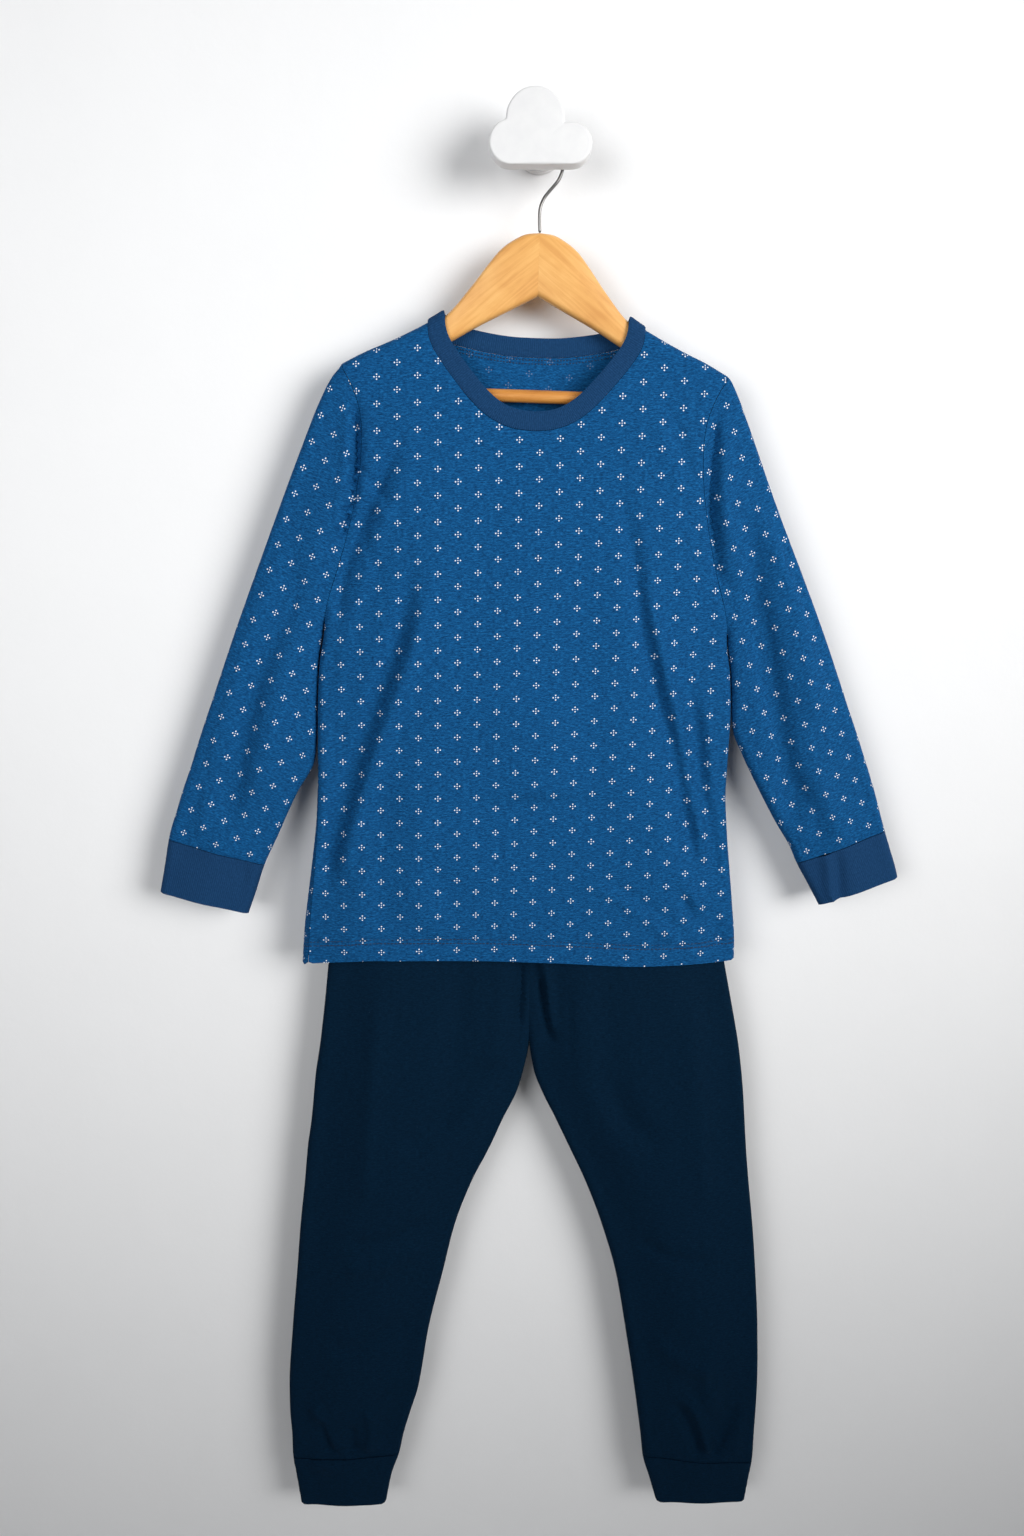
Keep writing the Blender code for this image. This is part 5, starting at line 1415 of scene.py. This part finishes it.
def wood(name, coat, dark, middle, light):
    """Varnished wood: growth bands, a broad figure and fine pores along the grain."""
    n = Nodes(name + "_varnished", {"Roughness": 0.42, "Coat Weight": coat, "Coat Roughness": 0.25})
    chart = n.chart()
    bands = n.noise(chart, (14, 190, 1), 4.0, 0.55, 1.2)
    pores = n.noise(chart, (160, 2600, 1), 2.0, 0.6)
    figure = n.noise(chart, (30, 45, 1), 2.0, 0.5, 0.8)
    tone = n.ramp(n.weighted((bands, 0.6), (figure, 0.4)), ((0.34, dark), (0.5, middle), (0.64, light)))
    colour = n.mix(n.ramp(pores, ((0.56, (0, 0, 0)), (0.72, (0.35, 0.35, 0.35)))), tone, dark)
    return n.finish(colour, n.math("ADD", bands, pores), 0.12, 0.0003)


def make_materials():
    """A material for each slot. Two together are the outside and the inside of the cloth."""
    made = {"blue_jersey": (blue_jersey("face", 1.0), blue_jersey("back", 0.12)),
            "blue_rib": blue_rib(), "navy_jersey": navy_jersey()}

    # The thread is painted much darker than the cloth it is sewn into: painted shade along the stitched lines
    # of the hem and the back neck.
    n = Nodes("thread_painted_shade", {"Roughness": 0.75})
    grain = n.noise(n.chart(), (4000, 4000, 1))
    made["thread"] = n.finish(n.ramp(grain, ((0.3, (0.002, 0.014, 0.045)), (0.7, (0.005, 0.026, 0.075)))))

    tones = (0.66, 0.305, 0.078), (0.76, 0.385, 0.108), (0.83, 0.455, 0.142)
    made["hanger_wood"] = wood("hanger_wood", 0.35, *tones)
    tones = (0.42, 0.150, 0.026), (0.62, 0.255, 0.052), (0.72, 0.340, 0.085)
    made["bar_wood"] = wood("bar_wood", 0.3, *tones)

    n = Nodes("hook_wire_steel", {"Roughness": 0.28, "Metallic": 1.0})
    streak = n.noise(n.chart(), (60, 900, 1), 2.0)
    colour = n.ramp(streak, ((0.35, (0.12, 0.117, 0.113)), (0.65, (0.26, 0.255, 0.25))))
    made["hook_wire"] = n.finish(colour, streak, 0.1, 0.0001)

    n = Nodes("white_paint_satin", {"Roughness": 0.42})
    spots = n.noise(n.chart(), (90, 90, 1), 3.0)
    colour = n.ramp(spots, ((0.3, (0.74, 0.74, 0.745)), (0.7, (0.78, 0.78, 0.78))))
    made["white_paint"] = n.finish(colour, spots, 0.08, 0.0004)
    return made


# Stage, lights and camera

def plane(name, corners, colour):
    mesh = bpy.data.meshes.new(name)
    mesh.from_pydata(corners, [], [tuple(range(len(corners)))])
    n = Nodes(name + "_surface", {"Roughness": 0.9})
    plaster = n.noise(n.add("ShaderNodeTexCoord").outputs["Object"], (9, 9, 9), 6.0, 0.62)
    tones = n.ramp(plaster, ((0.3, tuple(c * 0.985 for c in colour)), (0.7, colour)))
    mesh.materials.append(n.finish(tones, plaster, 0.25, 0.004))
    placed(name, mesh)


def light(name, place, target, size, power, colour, spread):
    data = bpy.data.lights.new(name, "AREA")
    data.shape = "DISK"
    data.size = size
    data.energy = power
    data.color = colour
    data.spread = math.radians(spread)
    made = placed(name, data)
    made.location = place
    made.rotation_euler = (Vector(target) - Vector(place)).to_track_quat("-Z", "Y").to_euler()


def stage():
    foot = [(-ROOM_SIDE, WALL_Y, FLOOR_Z), (ROOM_SIDE, WALL_Y, FLOOR_Z)]
    plane("backdrop_wall", foot + [(ROOM_SIDE, WALL_Y, ROOM_TOP), (-ROOM_SIDE, WALL_Y, ROOM_TOP)],
          (0.85, 0.853, 0.858))
    plane("pale_floor", [(-ROOM_SIDE, ROOM_FRONT, FLOOR_Z), (ROOM_SIDE, ROOM_FRONT, FLOOR_Z)] + foot[::-1],
          (0.80, 0.80, 0.80))
    light("key", (1.55, -1.6, 0.12), (-0.09, 0.0, -0.2), 1.5, 9.4, (1.0, 0.997, 0.99), 64)
    light("fill", (-1.15, -1.85, 0.0), (-0.04, 0.0, -0.2), 1.6, 4.7, (0.985, 0.992, 1.0), 68)
    world = bpy.data.worlds.new("studio")
    world.use_nodes = True
    world.node_tree.nodes["Background"].inputs["Color"].default_value = (0.93, 0.95, 1.0, 1.0)
    world.node_tree.nodes["Background"].inputs["Strength"].default_value = 0.1
    scene = bpy.context.scene
    scene.world = world
    data = bpy.data.cameras.new("camera")
    data.lens = 28.0
    data.sensor_fit = "VERTICAL"
    data.sensor_height = 36.0
    scene.camera = placed("camera", data)
    scene.camera.location = (-0.0205, -0.970, -0.267)
    scene.camera.rotation_euler = (math.radians(90 - 12), 0.0, 0.0)
    scene.view_settings.view_transform = "Standard"


# What each piece of cloth was cut to (all round on a tube), in metres and square metres, and what it
# hangs from
ARMS = ("hanger_arm_left", "hanger_arm_right")
TOP = ("top_front_fabric", "top_back_fabric")
SHEETS = table(
    Sheet,
    ("top_front", 0.362, 0.510, 0.149, ARMS),
    ("top_back", 0.368, 0.512, 0.156, ARMS),
    ("neck_rib", 0.0145, 0.422, 0.0061, TOP),
    ("sleeve_left", 0.210, 0.415, 0.0572, TOP),
    ("sleeve_right", 0.208, 0.412, 0.0569, TOP),
    ("sleeve_cuff_left", 0.163, 0.047, 0.0076, ("sleeve_left_fabric",)),
    ("sleeve_cuff_right", 0.148, 0.045, 0.0066, ("sleeve_right_fabric",)),
    ("waistband", 0.524, 0.032, 0.0166, TOP),
    ("trouser_leg_left", 0.405, 0.660, 0.186, ("waistband_fabric",)),
    ("trouser_leg_right", 0.400, 0.658, 0.183, ("waistband_fabric",)),
    ("ankle_cuff_left", 0.190, 0.051, 0.0096, ("trouser_leg_left_fabric",)),
    ("ankle_cuff_right", 0.180, 0.050, 0.0089, ("trouser_leg_right_fabric",)),
)

materials = make_materials()
torso_panel("top_front", -1, NECK_FRONT)
torso_panel("top_back", 1, NECK_BACK)
neck_rib()
sleeve("sleeve_left", LEFT_SLEEVE, LEFT_SLEEVE_CREASES, -1, LEFT_SLEEVE_END, LEFT_PRINT)
sleeve("sleeve_right", RIGHT_SLEEVE, RIGHT_SLEEVE_CREASES, 1, RIGHT_SLEEVE_END, RIGHT_PRINT)
for node, rows, seam, end in (("sleeve_cuff_left", LEFT_SLEEVE, LEFT_SLEEVE_END, LEFT_CUFF_END),
                              ("sleeve_cuff_right", RIGHT_SLEEVE, RIGHT_SLEEVE_END, RIGHT_CUFF_END)):
    surface = limb_surface(rows, sleeve_middle_y, (), CUFF_CREASES)
    tube(node, "blue_rib", surface, moved_down(seam, CUFF_GAP), end)
for word, sign, rows, seam, end in (("left", -1, LEFT_LEG, LEFT_ANKLE_SEAM, LEFT_ANKLE_END),
                                    ("right", 1, RIGHT_LEG, RIGHT_ANKLE_SEAM, RIGHT_ANKLE_END)):
    leg("trouser_leg_" + word, rows, sign, seam)
    surface = limb_surface(rows, level_middle_y, LEG_FOLDS, LEG_CREASES, LEG_CROWN_REACH)
    tube("ankle_cuff_" + word, "navy_jersey", surface, moved_down(seam, CUFF_GAP), end)
# The waistband stands clear of the top's folds, so it is drawn in at both sides
rows = tuple(
    row._replace(outer=row.outer + WAIST_DRAWN_IN, inner=row.inner - WAIST_DRAWN_IN) for row in WAISTBAND
)
top, end = ((Line(row.outer, row.z), Line(row.inner, row.z)) for row in rows)
tube("waistband", "navy_jersey", limb_surface(rows, level_middle_y, reach=WAIST_CROWN_REACH), top, end)
hanger()
wall_hook()
sewing()
for name, width, length, area, on in SHEETS:
    list(on)
stage()
